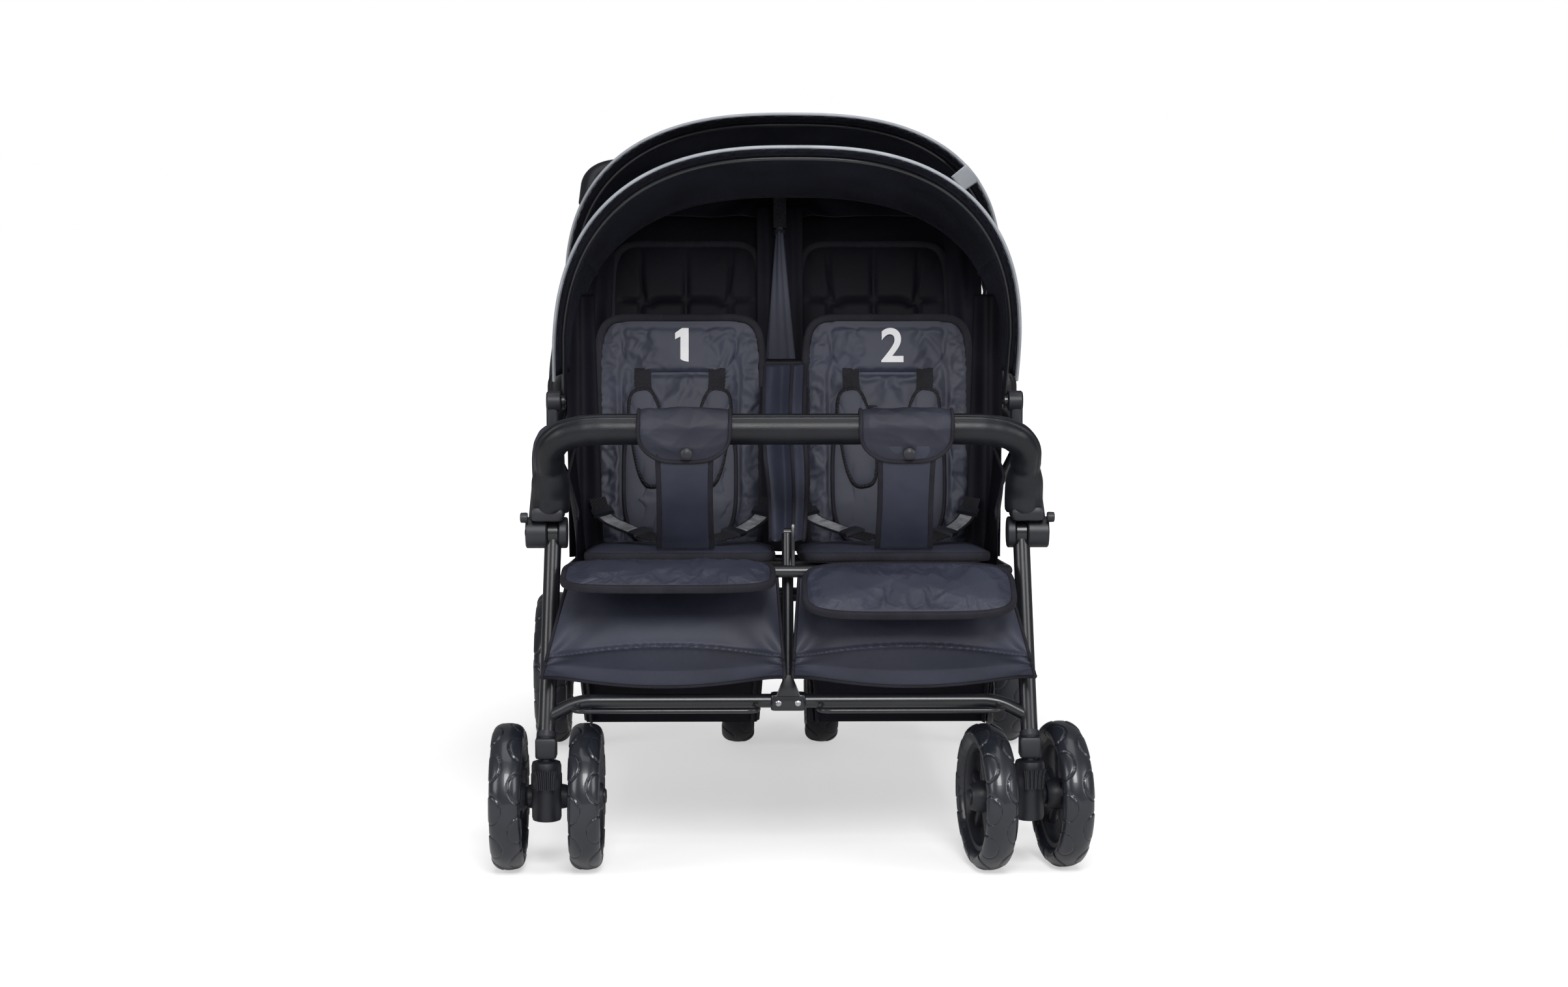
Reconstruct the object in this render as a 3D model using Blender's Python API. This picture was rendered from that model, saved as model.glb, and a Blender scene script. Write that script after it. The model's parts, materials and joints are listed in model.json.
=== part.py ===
"""Folding stroller for four children: two seats in front, two higher seats behind, a hood over each pair.

Metres. +X is to the right as seen from the front, -Y is forwards, +Z is up. The floor is z = 0.
"""

import math

import bmesh
import bpy
import numpy as np
from mathutils import Matrix, Vector

for old in list(bpy.data.objects):
    bpy.data.objects.remove(old, do_unlink=True)

# Clearances
GAP = 0.0003

# Wheels and casters
WHEELBASE = 0.880
FRONT_WHEEL_D = 0.190
FRONT_TYRE_WIDTH = 0.037
FRONT_TYRE_DEPTH = 0.024
FRONT_HUB_HALF = 0.022
REAR_WHEEL_D = 0.240
REAR_TYRE_WIDTH = 0.050
REAR_HUB_HALF = 0.028
CASTER_X = 0.310
CASTER_SPREAD = 0.050
CASTER_TRAIL = 0.025
CASTER_TURN = math.radians(10)
CASTER_RADIUS = 0.020
CASTER_LOW = 0.069
CASTER_HIGH = 0.146
AXLE_RADIUS = 0.006
REAR_OUTER_X = 0.358
REAR_INNER_X = 0.066

# Frame tubes
LEG_RADIUS = 0.011
RAIL_RADIUS = 0.011
LOOP_RADIUS = 0.008
CROSS_RADIUS = 0.0078
POST_RADIUS = 0.0075
CROSSBAR_RADIUS = 0.009
WIRE_RADIUS = 0.0033
BAR_RADIUS = 0.020
HANDLE_RADIUS = 0.0105
GRIP_RADIUS = 0.017
GRIP_DOWN = 0.075
HANDLE_STRAIGHT = 0.090
RIB_RADIUS = 0.004

# Side view, as (y, z)
LEG_PIVOT = (-0.392, 0.432)
SIDE_PIVOT = (0.200, 0.560)
SEAT_FRONT = (-0.432, 0.386)
SEAT_MIDDLE = (-0.128, 0.362)
SEAT_STEP = (-0.040, 0.430)
SEAT_REAR = (0.290, 0.425)
CROSSBAR_AT = (-0.450, 0.221)
FRONT_BAR_AT = (-0.452, 0.571)
REAR_BAR_AT = (0.100, 0.612)
HANDLE_TOP = (0.533, 0.906)
FRONT_HOOD_PIVOT = (-0.150, 0.585)
REAR_HOOD_PIVOT = (0.265, 0.675)

# Half widths
LEG_TOP_X = 0.3035
RAIL_X = 0.3255
LOOP_X = 0.283
HANDLE_X = 0.3385
HANDLE_TOP_X = 0.2930
REAR_LEG_X = 0.3063
DISC_X = (0.3150, 0.3275)
BAR_END_X = 0.303
HOOD_RIB_X = 0.3020

# Seats
SEAT_INNER_X = 0.013
SEAT_OUTER_X = 0.267
PAN_THICK = 0.024
BACK_THICK = 0.026
BACK_CROWN = 0.007
BACK_BELOW = 0.006
BACK_SET = CROSS_RADIUS + GAP + BACK_THICK / 2 - BACK_CROWN + 0.001
BACK_INNER_X = 0.024
FRONT_BACK_LENGTH = 0.357
FRONT_BACK_LEAN = math.radians(12)
REAR_BACK_LENGTH = 0.401
REAR_BACK_LEAN = math.radians(18)
PAN_CROWN = 0.003
LEG_REST_START = 0.004
LEG_REST_REACH = 0.1276
LEG_REST_THICK = 0.018
LEG_REST_LIFT = LOOP_RADIUS + GAP + LEG_REST_THICK / 2 - PAN_CROWN
LEG_REST_DROOP = (math.radians(9.5), math.radians(26))
CLOTH = 0.004
HOOD_FULLNESS = 0.006

FRONT_AXLE = (-WHEELBASE / 2, FRONT_WHEEL_D / 2)
REAR_AXLE = (WHEELBASE / 2, REAR_WHEEL_D / 2)
SWIVEL_Y = FRONT_AXLE[0] - CASTER_TRAIL

COLOURS = {
    "fabric": ((0.020, 0.022, 0.030), 0.85, 0.0),
    "frame": ((0.012, 0.012, 0.014), 0.40, 0.0),
    "plastic": ((0.015, 0.015, 0.017), 0.50, 0.0),
    "tyre": ((0.010, 0.010, 0.011), 0.35, 0.0),
    "leather": ((0.012, 0.012, 0.014), 0.45, 0.0),
}


def material(name):
    """The finish of one kind of piece; each object gets its own copy."""
    colour, rough, metal = COLOURS[name]
    made = bpy.data.materials.new(name)
    made.use_nodes = True
    shader = made.node_tree.nodes["Principled BSDF"]
    shader.inputs["Base Color"].default_value = (*colour, 1)
    shader.inputs["Roughness"].default_value = rough
    shader.inputs["Metallic"].default_value = metal
    made.diffuse_color = (*colour, 1)
    return made


def solid(name, verts, faces, finish=None, origin=(0, 0, 0)):
    """A closed mesh with its faces outwards and its origin at a joint; without a finish it is a helper."""
    origin = Vector(origin)
    mesh = bpy.data.meshes.new(name)
    mesh.from_pydata([Vector(v) - origin for v in verts], [], faces)
    bm = bmesh.new()
    bm.from_mesh(mesh)
    bmesh.ops.recalc_face_normals(bm, faces=bm.faces)
    bm.to_mesh(mesh)
    bm.free()
    mesh.shade_smooth()
    mesh.set_sharp_from_angle(angle=math.radians(40))
    obj = bpy.data.objects.new(name, mesh)
    obj.location = origin
    bpy.context.scene.collection.objects.link(obj)
    if finish:
        mesh.materials.append(material(finish))
    else:
        obj.hide_render = True
        obj.display_type = "WIRE"
    return obj


def around(radius, sides=12):
    """The radius of a many-sided bore whose flats stay clear of a round piece of this radius."""
    return (radius + GAP) / math.cos(math.pi / sides)


def combine(target, tool, operation):
    """Joins a helper to a piece (UNION) or cuts it out of it (DIFFERENCE)."""
    step = target.modifiers.new(operation.lower(), "BOOLEAN")
    step.operation = operation
    step.solver = "EXACT"
    step.object = tool
    return target


def rounded(points, bend, steps=4):
    """A path whose corners are turned through a curve that starts one bend length from the corner."""
    points = [Vector(p) for p in points]
    path = [points[0]]
    for before, corner, after in zip(points, points[1:], points[2:]):
        reach_in = min(bend, (before - corner).length * 0.48)
        reach_out = min(bend, (after - corner).length * 0.48)
        start = corner + (before - corner).normalized() * reach_in
        end = corner + (after - corner).normalized() * reach_out
        for i in range(steps + 1):
            t = i / steps
            path.append(start * (1 - t) ** 2 + corner * 2 * t * (1 - t) + end * t * t)
    path.append(points[-1])
    return path


def tube(name, path, radius, finish=None, sides=10, origin=(0, 0, 0), closed=False):
    """A round bar along a path; each ring is the one before it, turned only as the path bends."""
    path = [Vector(p) for p in path]
    count = len(path)
    radii = radius if isinstance(radius, list) else [radius] * count
    tangents = []
    for i in range(count):
        ahead = path[(i + 1) % count] if closed else path[min(i + 1, count - 1)]
        behind = path[i - 1] if closed or i > 0 else path[0]
        tangents.append((ahead - behind).normalized())
    across = tangents[0].orthogonal().normalized()
    if abs(tangents[0].x) < 0.9:
        across = tangents[0].cross(Vector((1, 0, 0))).normalized()
    verts = []
    for i, (point, tangent) in enumerate(zip(path, tangents)):
        if i:
            across = tangents[i - 1].rotation_difference(tangent) @ across
        side = tangent.cross(across)
        for k in range(sides):
            angle = 2 * math.pi * (k + 0.5) / sides
            offset = across * math.cos(angle) + side * math.sin(angle)
            verts.append(point + offset * radii[i])
    faces = []
    for i in range(count if closed else count - 1):
        a = i * sides
        b = ((i + 1) % count) * sides
        for k in range(sides):
            n = (k + 1) % sides
            faces.append((a + k, a + n, b + n, b + k))
    if not closed:
        faces.append(tuple(range(sides)))
        faces.append(tuple(range((count - 1) * sides, count * sides)))
    return solid(name, verts, faces, finish, origin)


def rod(name, start, end, radius, finish=None, sides=12, origin=(0, 0, 0)):
    """A straight round bar."""
    return tube(name, [start, end], radius, finish, sides, origin)


def box(name, low, high, finish=None, origin=(0, 0, 0)):
    """A rectangular block between two corners."""
    (x0, y0, z0), (x1, y1, z1) = low, high
    verts = [(x, y, z) for z in (z0, z1) for y in (y0, y1) for x in (x0, x1)]
    faces = [(0, 2, 3, 1), (4, 5, 7, 6), (0, 1, 5, 4), (2, 6, 7, 3), (0, 4, 6, 2), (1, 3, 7, 5)]
    return solid(name, verts, faces, finish, origin)


def plate(name, outline, x0, x1, finish=None, origin=(0, 0, 0)):
    """An outline in the side view, as (y, z), given a thickness across X."""
    n = len(outline)
    verts = [(x, y, z) for x in (x0, x1) for y, z in outline]
    faces = [tuple(range(n)), tuple(range(n, 2 * n))]
    faces += [(i, (i + 1) % n, n + (i + 1) % n, n + i) for i in range(n)]
    return solid(name, verts, faces, finish, origin)


def ring(name, section, centre, finish, steps=20, origin=None):
    """A section of (radius, x) turned once about the X axis through a centre, with one corner straight down."""
    cx, cy, cz = centre
    n = len(section)
    verts = []
    for i in range(steps):
        angle = 2 * math.pi * i / steps - math.pi / 2
        for r, x in section:
            verts.append((cx + x, cy + r * math.cos(angle), cz + r * math.sin(angle)))
    faces = []
    for i in range(steps):
        a = i * n
        b = ((i + 1) % steps) * n
        faces += [(a + k, a + (k + 1) % n, b + (k + 1) % n, b + k) for k in range(n)]
    return solid(name, verts, faces, finish, centre if origin is None else origin)


def grid_solid(name, upper, lower, finish, origin=(0, 0, 0)):
    """A closed solid between two grids of points that match row for row."""
    rows, cols = upper.shape[:2]
    verts = [tuple(p) for p in upper.reshape(-1, 3)] + [tuple(p) for p in lower.reshape(-1, 3)]
    half = rows * cols
    faces = []
    for i in range(rows - 1):
        for j in range(cols - 1):
            a, b = i * cols + j, i * cols + j + 1
            c, d = b + cols, a + cols
            faces.append((a, b, c, d))
            faces.append((half + d, half + c, half + b, half + a))
    rim = [j for j in range(cols)]
    rim += [i * cols + cols - 1 for i in range(1, rows)]
    rim += [(rows - 1) * cols + j for j in range(cols - 2, -1, -1)]
    rim += [i * cols for i in range(rows - 2, 0, -1)]
    for a, b in zip(rim, rim[1:] + rim[:1]):
        faces.append((b, a, half + a, half + b))
    return solid(name, verts, faces, finish, origin)


def cushion(name, place, width, length, thick, crown, pull, origin, channels=(), corner=5.0, size=(8, 8),
            under=1):
    """A sewn pad from y = 0 to y = length in its own plane: crowned faces, drawn-in sides, rounded corners.

    channels are stitched lines along its length, as shares of the half width; under is the underside's
    share of the crown.
    """
    u, v = np.meshgrid(np.linspace(-1, 1, size[0] + 1), np.linspace(-1, 1, size[1] + 1))
    reach = np.maximum(np.abs(u), np.abs(v))
    fullness = (np.abs(u) ** corner + np.abs(v) ** corner) ** (1 / corner)
    scale = np.where(fullness > 0, reach / np.maximum(fullness, 1e-9), 1)
    x = u * scale * (1 - pull * (1 - v**2)) * width / 2
    y = v * scale * (1 - pull * (1 - u**2)) * length / 2 + length / 2
    swell = (1 - u**4) * (1 - v**4)
    rise = crown * swell
    for at in channels:
        rise = rise - 0.6 * crown * swell * np.exp(-(((u - at) / 0.09) ** 2))
    edge = thick / 2 - crown
    faces = []
    for sign, share in ((1, 1), (-1, under)):
        z = sign * (edge + rise * share)
        points = np.stack([x, y, z], -1).reshape(-1, 3)
        placed = np.array([place @ Vector(p) for p in points])
        faces.append(placed.reshape(size[1] + 1, size[0] + 1, 3))
    return grid_solid(name, faces[0], faces[1], "fabric", origin)


def arch(pivot, angle, reach, half_width, base, power=2.6, count=16, inset=0.0):
    """Points of a hood bow: a squared half ellipse in a plane through the pivot, tilted at an angle."""
    points = []
    for i in range(count + 1):
        t = math.pi * i / count
        across = -math.copysign(abs(math.cos(t)) ** (2 / power), math.cos(t)) * (half_width - inset)
        rise = base + (reach - inset - base) * abs(math.sin(t)) ** (2 / power)
        points.append((across, pivot[0] + math.cos(angle) * rise, pivot[1] + math.sin(angle) * rise))
    return points


def bow_at(pivot, tops, halves, share):
    """(angle, reach, half width) of the hood's cross-section at a share of the way from front to rear."""
    rise = HOOD_FULLNESS * math.sin(math.pi * share)
    y = tops[0][0] + (tops[1][0] - tops[0][0]) * share - pivot[0]
    z = tops[0][1] + (tops[1][1] - tops[0][1]) * share + rise - pivot[1]
    return math.atan2(z, y), math.hypot(y, z), halves[0] + (halves[1] - halves[0]) * share + rise / 2


def hood(name, pivot, tops, halves, base, shares, power=2.6, count=14):
    """A fabric shell from the front bow to the rear edge, given the top (y, z) and half width of each."""
    outer = np.array([arch(pivot, *bow_at(pivot, tops, halves, share), base, power, count) for share in shares])
    along = np.gradient(outer, axis=0)
    across = np.gradient(outer, axis=1)
    normal = np.cross(along, across)
    normal /= np.linalg.norm(normal, axis=2, keepdims=True)
    middle = np.array([0, pivot[0], pivot[1]])
    outward = np.sum(normal * (outer - middle), axis=2, keepdims=True)
    normal *= np.where(outward < 0, -1, 1)
    return grid_solid(name, outer, outer - normal * CLOTH, "fabric")


def tyre_section(radius, width, depth):
    """Half-round tread with a flat band where it runs, and a seat that grips the rim."""
    half = width / 2
    return [
        (radius - depth, -0.34 * width),
        (radius - 0.42 * depth, -half),
        (radius, -0.45 * half),
        (radius, 0.45 * half),
        (radius - 0.42 * depth, half),
        (radius - depth, 0.34 * width),
    ]


def rim_section(outer, width, hub_half, bore):
    """A deep hub, a thin web and a flange under the tyre."""
    flange = 0.34 * width
    return [
        (bore, -hub_half),
        (0.018, -hub_half),
        (0.022, -0.006),
        (outer, -flange),
        (outer, flange),
        (0.022, 0.006),
        (0.018, hub_half),
        (bore, hub_half),
    ]


# Caster: a housing on the swivel pin, a boss across it and the axle that both wheels turn on.
# Each is modelled straight, then turned about its swivel axis.
BOSS_HALF = CASTER_SPREAD - FRONT_HUB_HALF - GAP
AXLE_HALF = CASTER_SPREAD + FRONT_HUB_HALF + GAP
CAP_THICK = 0.003
PIN_RADIUS = 0.006
PLUG_LOW = CASTER_HIGH + 0.0043
PLUG_HALF = 0.0135
PIN_HIGH = 0.170
for index, (label, x_side) in enumerate((("left", -1), ("right", 1))):
    x = x_side * CASTER_X
    swivel = bpy.data.objects.new(f"{label}_swivel_axis", None)
    swivel.location = (x, SWIVEL_Y, 0)
    bpy.context.scene.collection.objects.link(swivel)
    axle_at = (FRONT_AXLE[0], FRONT_AXLE[1])
    axis = (x, SWIVEL_Y, CASTER_LOW)
    made = [rod(f"caster_{label}", axis, (x, SWIVEL_Y, CASTER_HIGH), CASTER_RADIUS, "plastic", 14, axis)]
    helpers = [
        rod("neck", (x, SWIVEL_Y, CASTER_HIGH - 0.002), (x, SWIVEL_Y, PLUG_LOW - GAP), 0.009),
        rod("pin", (x, SWIVEL_Y, PLUG_LOW - 0.004), (x, SWIVEL_Y, PIN_HIGH), PIN_RADIUS),
        rod("boss", (x - BOSS_HALF, *axle_at), (x + BOSS_HALF, *axle_at), 0.016),
        rod("axle", (x - AXLE_HALF - 0.001, *axle_at), (x + AXLE_HALF + 0.001, *axle_at), AXLE_RADIUS, None, 12),
        rod("cap", (x - AXLE_HALF - CAP_THICK, *axle_at), (x - AXLE_HALF, *axle_at), 0.010, None, 12),
        rod("cap", (x + AXLE_HALF, *axle_at), (x + AXLE_HALF + CAP_THICK, *axle_at), 0.010, None, 12),
    ]
    for helper in helpers:
        combine(made[0], helper, "UNION")
    lock_y = SWIVEL_Y - CASTER_RADIUS - GAP
    lock_low = (x - 0.011, lock_y - 0.009, 0.112)
    lock_high = (x + 0.011, lock_y, 0.140)
    made.append(box(f"swivel_lock_{label}", lock_low, lock_high, "plastic", lock_low))
    for step, offset in enumerate((-CASTER_SPREAD, CASTER_SPREAD)):
        number = 2 * index + step + 1
        centre = (x + offset, *FRONT_AXLE)
        rim_radius = FRONT_WHEEL_D / 2 - FRONT_TYRE_DEPTH
        tread = tyre_section(FRONT_WHEEL_D / 2, FRONT_TYRE_WIDTH, FRONT_TYRE_DEPTH)
        hub = rim_section(rim_radius - GAP, FRONT_TYRE_WIDTH, FRONT_HUB_HALF, around(AXLE_RADIUS, 20))
        made.append(ring(f"front_tyre_{number}", tread, centre, "tyre"))
        made.append(ring(f"front_rim_{number}", hub, centre, "plastic"))
    for piece in made + helpers:
        world = Matrix.Translation(piece.location)
        piece.parent = swivel
        piece.matrix_parent_inverse = Matrix.Translation((-x, -SWIVEL_Y, 0))
        piece.location = world.translation
    if x_side > 0:
        swivel.rotation_euler.z = CASTER_TURN

# Front legs: an eye on the fold pivot, a round tube and a square plug that takes the swivel pin.
EYE_RADIUS = 0.016
EYE_HALF = 0.007
PIVOT_PIN = 0.005
for label, s in (("left", -1), ("right", 1)):
    top = Vector((s * LEG_TOP_X, *LEG_PIVOT))
    foot = Vector((s * CASTER_X, SWIVEL_Y, PLUG_LOW))
    way = (foot + Vector((0, 0, 0.018)) - top).normalized()
    path = [top + way * 0.030, foot + Vector((0, 0, 0.016))]
    leg = tube(f"front_leg_{label}", path, LEG_RADIUS, "frame", 12, top)
    eye_low = (top.x - EYE_HALF, *LEG_PIVOT)
    eye_high = (top.x + EYE_HALF, *LEG_PIVOT)
    combine(leg, rod("eye", eye_low, eye_high, EYE_RADIUS), "UNION")
    neck = [(LEG_PIVOT[0] + way.y * d + way.z * w, LEG_PIVOT[1] + way.z * d - way.y * w)
            for d, w in ((0.004, -0.009), (0.036, -0.009), (0.036, 0.009), (0.004, 0.009))]
    combine(leg, plate("neck", neck, top.x - EYE_HALF, top.x + EYE_HALF), "UNION")
    plug_low = (foot.x - PLUG_HALF, SWIVEL_Y - PLUG_HALF, PLUG_LOW)
    plug_high = (foot.x + PLUG_HALF, SWIVEL_Y + PLUG_HALF, PLUG_LOW + 0.026)
    combine(leg, box("plug", plug_low, plug_high), "UNION")
    bore_low = (foot.x, SWIVEL_Y, PLUG_LOW - 0.01)
    bore = rod("bore", bore_low, (foot.x, SWIVEL_Y, PIN_HIGH + GAP), around(PIN_RADIUS))
    combine(leg, bore, "DIFFERENCE")
    far = (top.x + 0.02, *LEG_PIVOT)
    combine(leg, rod("bore", (top.x - 0.02, *LEG_PIVOT), far, around(PIVOT_PIN), None, 12), "DIFFERENCE")

# Crossbar between the legs, with the two footrest wires welded to its front.
leg_slope = (SWIVEL_Y - LEG_PIVOT[0]) / (PLUG_LOW + 0.018 - LEG_PIVOT[1])


def leg_y(z):
    """Where the front leg's centre line is at a height."""
    return LEG_PIVOT[0] + leg_slope * (z - LEG_PIVOT[1])


hoop_end_z = 0.203
hoop = [(-CASTER_X + 0.004, leg_y(hoop_end_z), hoop_end_z), (-0.270, *CROSSBAR_AT)]
hoop += [(-x, y, z) for x, y, z in reversed(hoop)]
crossbar = tube("crossbar", rounded(hoop, 0.02, 2), CROSSBAR_RADIUS, "frame", 8, (0, *LEG_PIVOT))
for s in (-1, 1):
    leg_line = [(s * CASTER_X, SWIVEL_Y, PLUG_LOW + 0.018), (s * LEG_TOP_X, *LEG_PIVOT)]
    combine(crossbar, tube("leg", leg_line, around(LEG_RADIUS), None, 12), "DIFFERENCE")
FOOT_WIRE_Y = -0.500
for s in (-1, 1):
    wire = [(s * 0.268, CROSSBAR_AT[0], CROSSBAR_AT[1] - 0.004), (s * 0.276, FOOT_WIRE_Y, 0.2165)]
    wire += [(s * 0.036, FOOT_WIRE_Y, 0.2165), (s * 0.044, CROSSBAR_AT[0], CROSSBAR_AT[1] - 0.004)]
    combine(crossbar, tube("wire", rounded(wire, 0.02, 2), WIRE_RADIUS, None, 6), "UNION")

# Centre post: hangs on a lug between the seats and is riveted to the crossbar by a bracket.
way = Vector((0, *CROSSBAR_AT)) - Vector((0, *LEG_PIVOT))
post_length = way.length
way.normalize()
POST_EYE = (-0.0045, 0.0042)
post_top = Vector((0, *LEG_PIVOT))
post_end = post_top + way * (post_length - CROSSBAR_RADIUS - 0.0035)
post = tube("centre_post", [post_top + way * 0.045, post_end], POST_RADIUS, "frame", 10, post_top)
neck = [(LEG_PIVOT[0] + way.y * d + way.z * w, LEG_PIVOT[1] + way.z * d - way.y * w)
        for d, w in ((0.0, -0.006), (0.052, -0.006), (0.052, 0.006), (0.0, 0.006))]
combine(post, plate("neck", neck, *POST_EYE), "UNION")
combine(post, rod("eye", (POST_EYE[0], *LEG_PIVOT), (POST_EYE[1], *LEG_PIVOT), 0.010), "UNION")
combine(post, rod("bore", (-0.02, *LEG_PIVOT), (0.02, *LEG_PIVOT), around(0.004, 10), None, 10), "DIFFERENCE")
bracket_low = (-0.022, CROSSBAR_AT[0] - CROSSBAR_RADIUS - 0.005, CROSSBAR_AT[1] - 0.011)
bracket_high = (0.022, CROSSBAR_AT[0] + CROSSBAR_RADIUS + 0.005, CROSSBAR_AT[1] + 0.019)
combine(post, box("bracket", bracket_low, bracket_high), "UNION")
seat_for_bar = rod("seat", (-0.05, *CROSSBAR_AT), (0.05, *CROSSBAR_AT), around(CROSSBAR_RADIUS, 10), None, 10)
combine(post, seat_for_bar, "DIFFERENCE")

# Side rails: armrest tube, the flat disc that the handle and the rear leg turn on, and the two hood clamps.
DISC_RADIUS = 0.030
HINGE_PIN = 0.009
RAIL_START = (-0.385, 0.4443)
RAIL_BEND = (-0.270, 0.515)
RAIL_END = (SIDE_PIVOT[0] - DISC_RADIUS + 0.004, 0.5555)
CLAMP_X = (0.3068, 0.3330)
EYE_IN_X = (0.3003, DISC_X[0] - GAP)
EYE_OUT_X = (DISC_X[1] + GAP, 0.3450)
rail_slope = (RAIL_END[1] - RAIL_BEND[1]) / (RAIL_END[0] - RAIL_BEND[0])


def rail_z(y):
    """The armrest tube's centre height behind its bend."""
    return RAIL_BEND[1] + rail_slope * (y - RAIL_BEND[0])


def rail_path(s):
    """The armrest tube's route on one side."""
    return rounded([(s * RAIL_X, *RAIL_START), (s * RAIL_X, *RAIL_BEND), (s * RAIL_X, *RAIL_END)], 0.06, 3)


BAR_SOCKET_HALF = 0.020
rear_bar_foot_z = rail_z(REAR_BAR_AT[0]) + RAIL_RADIUS
for label, s in (("left", -1), ("right", 1)):
    rail = tube(f"side_rail_{label}", rail_path(s), RAIL_RADIUS, "frame", 10)
    disc = rod("disc", (s * DISC_X[0], *SIDE_PIVOT), (s * DISC_X[1], *SIDE_PIVOT), DISC_RADIUS, None, 20)
    combine(rail, disc, "UNION")
    pin = rod("pin", (s * EYE_IN_X[0], *SIDE_PIVOT), (s * EYE_OUT_X[1], *SIDE_PIVOT), HINGE_PIN, None, 12)
    combine(rail, pin, "UNION")
    clamp_foot = (s * 0.3199, FRONT_HOOD_PIVOT[0], rail_z(FRONT_HOOD_PIVOT[0]))
    clamp_top = (s * 0.3199, FRONT_HOOD_PIVOT[0], FRONT_HOOD_PIVOT[1])
    combine(rail, rod("clamp_stem", clamp_foot, clamp_top, 0.0085, None, 8), "UNION")
    post_foot = (s * 0.3200, SIDE_PIVOT[0] + 0.014, SIDE_PIVOT[1] + 0.0245)
    post_high = (s * 0.3205, *REAR_HOOD_PIVOT)
    combine(rail, rod("hood_post", post_foot, post_high, 0.0062, None, 8), "UNION")
    for pivot in (FRONT_HOOD_PIVOT, REAR_HOOD_PIVOT):
        knob = rod("knob", (s * CLAMP_X[0], *pivot), (s * 0.3268, *pivot), 0.014, None, 12)
        combine(rail, knob, "UNION")
        stub = rod("stub", (s * 0.3005, *pivot), (s * (CLAMP_X[0] + 0.002), *pivot), 0.005, None, 10)
        combine(rail, stub, "UNION")
    socket_low = (s * RAIL_X - 0.009, REAR_BAR_AT[0] - BAR_SOCKET_HALF, rail_z(REAR_BAR_AT[0]))
    socket_high = (s * RAIL_X + 0.009, REAR_BAR_AT[0] + BAR_SOCKET_HALF, rear_bar_foot_z + 0.004)
    combine(rail, box("socket", socket_low, socket_high), "UNION")
    bore_top = (s * RAIL_X, REAR_BAR_AT[0], rear_bar_foot_z + 0.02)
    bore_low = (s * RAIL_X, REAR_BAR_AT[0], rear_bar_foot_z - 0.012)
    combine(rail, rod("bore", bore_low, bore_top, around(0.006, 10), None, 10), "DIFFERENCE")

# Front joints: a plastic clevis round each leg's eye, with sockets for the armrest tube and the bumper bar.
JOINT_X = (0.2850, 0.3386)
SLOT_HALF = EYE_HALF + GAP
JOINT_RADIUS = 0.020
JOINT_TOP = 0.468
STUB_RADIUS = 0.008
STUB_LENGTH = 0.014
BAR_END_Y = -0.398
BUTTON_AT = (-0.4105, 0.4535)
BUTTON_RADIUS = 0.007
BUTTON_HOLE = 0.0066
BUTTON_TRAVEL = 0.0034
for label, s in (("left", -1), ("right", 1)):
    inner, outer = s * JOINT_X[0], s * JOINT_X[1]
    joint = rod(f"front_joint_{label}", (inner, *LEG_PIVOT), (outer, *LEG_PIVOT), JOINT_RADIUS, "plastic", 16)
    head = [(-0.4225, JOINT_TOP), (-0.3720, JOINT_TOP), (-0.3690, 0.4560), (-0.3725, 0.4320), (-0.4115, 0.4320)]
    combine(joint, plate("head", head, inner, outer), "UNION")
    slot = [(0.0165, 0.0), (0.0600, -0.0400), (0.0600, -0.0600), (-0.0400, -0.0600), (-0.0200, -0.0300)]
    slot += [(0.0165 * math.cos(a), 0.0165 * math.sin(a)) for a in np.linspace(math.pi, 0, 9)[:-1]]
    slot = [(LEG_PIVOT[0] + y, LEG_PIVOT[1] + z) for y, z in slot]
    middle = s * LEG_TOP_X
    combine(joint, plate("slot", slot, middle - SLOT_HALF, middle + SLOT_HALF), "DIFFERENCE")
    pin = rod("pin", (s * (JOINT_X[0] + 0.003), *LEG_PIVOT), (s * 0.315, *LEG_PIVOT), PIVOT_PIN, None, 12)
    combine(joint, pin, "UNION")
    rail_way = (Vector(rail_path(s)[0]) - Vector(rail_path(s)[1])).normalized()
    bore = [Vector(rail_path(s)[0]) + rail_way * GAP] + rail_path(s)[1:3]
    combine(joint, tube("bore", bore, around(RAIL_RADIUS, 10), None, 10), "DIFFERENCE")
    stub_low = (s * BAR_END_X, BAR_END_Y, JOINT_TOP - STUB_LENGTH - GAP)
    stub_top = (s * BAR_END_X, BAR_END_Y, JOINT_TOP + 0.01)
    combine(joint, rod("bore", stub_low, stub_top, around(STUB_RADIUS), None, 12), "DIFFERENCE")
    hole_start = (s * (JOINT_X[1] - BUTTON_HOLE), *BUTTON_AT)
    hole = rod("hole", hole_start, (s * 0.36, *BUTTON_AT), around(BUTTON_RADIUS), None, 12)
    combine(joint, hole, "DIFFERENCE")
    button_in = (s * (JOINT_X[1] - BUTTON_HOLE + BUTTON_TRAVEL), *BUTTON_AT)
    button_out = (s * (JOINT_X[1] + 0.0062), *BUTTON_AT)
    rod(f"bar_button_{label}", button_in, button_out, BUTTON_RADIUS, "plastic", 12, button_in)

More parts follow.
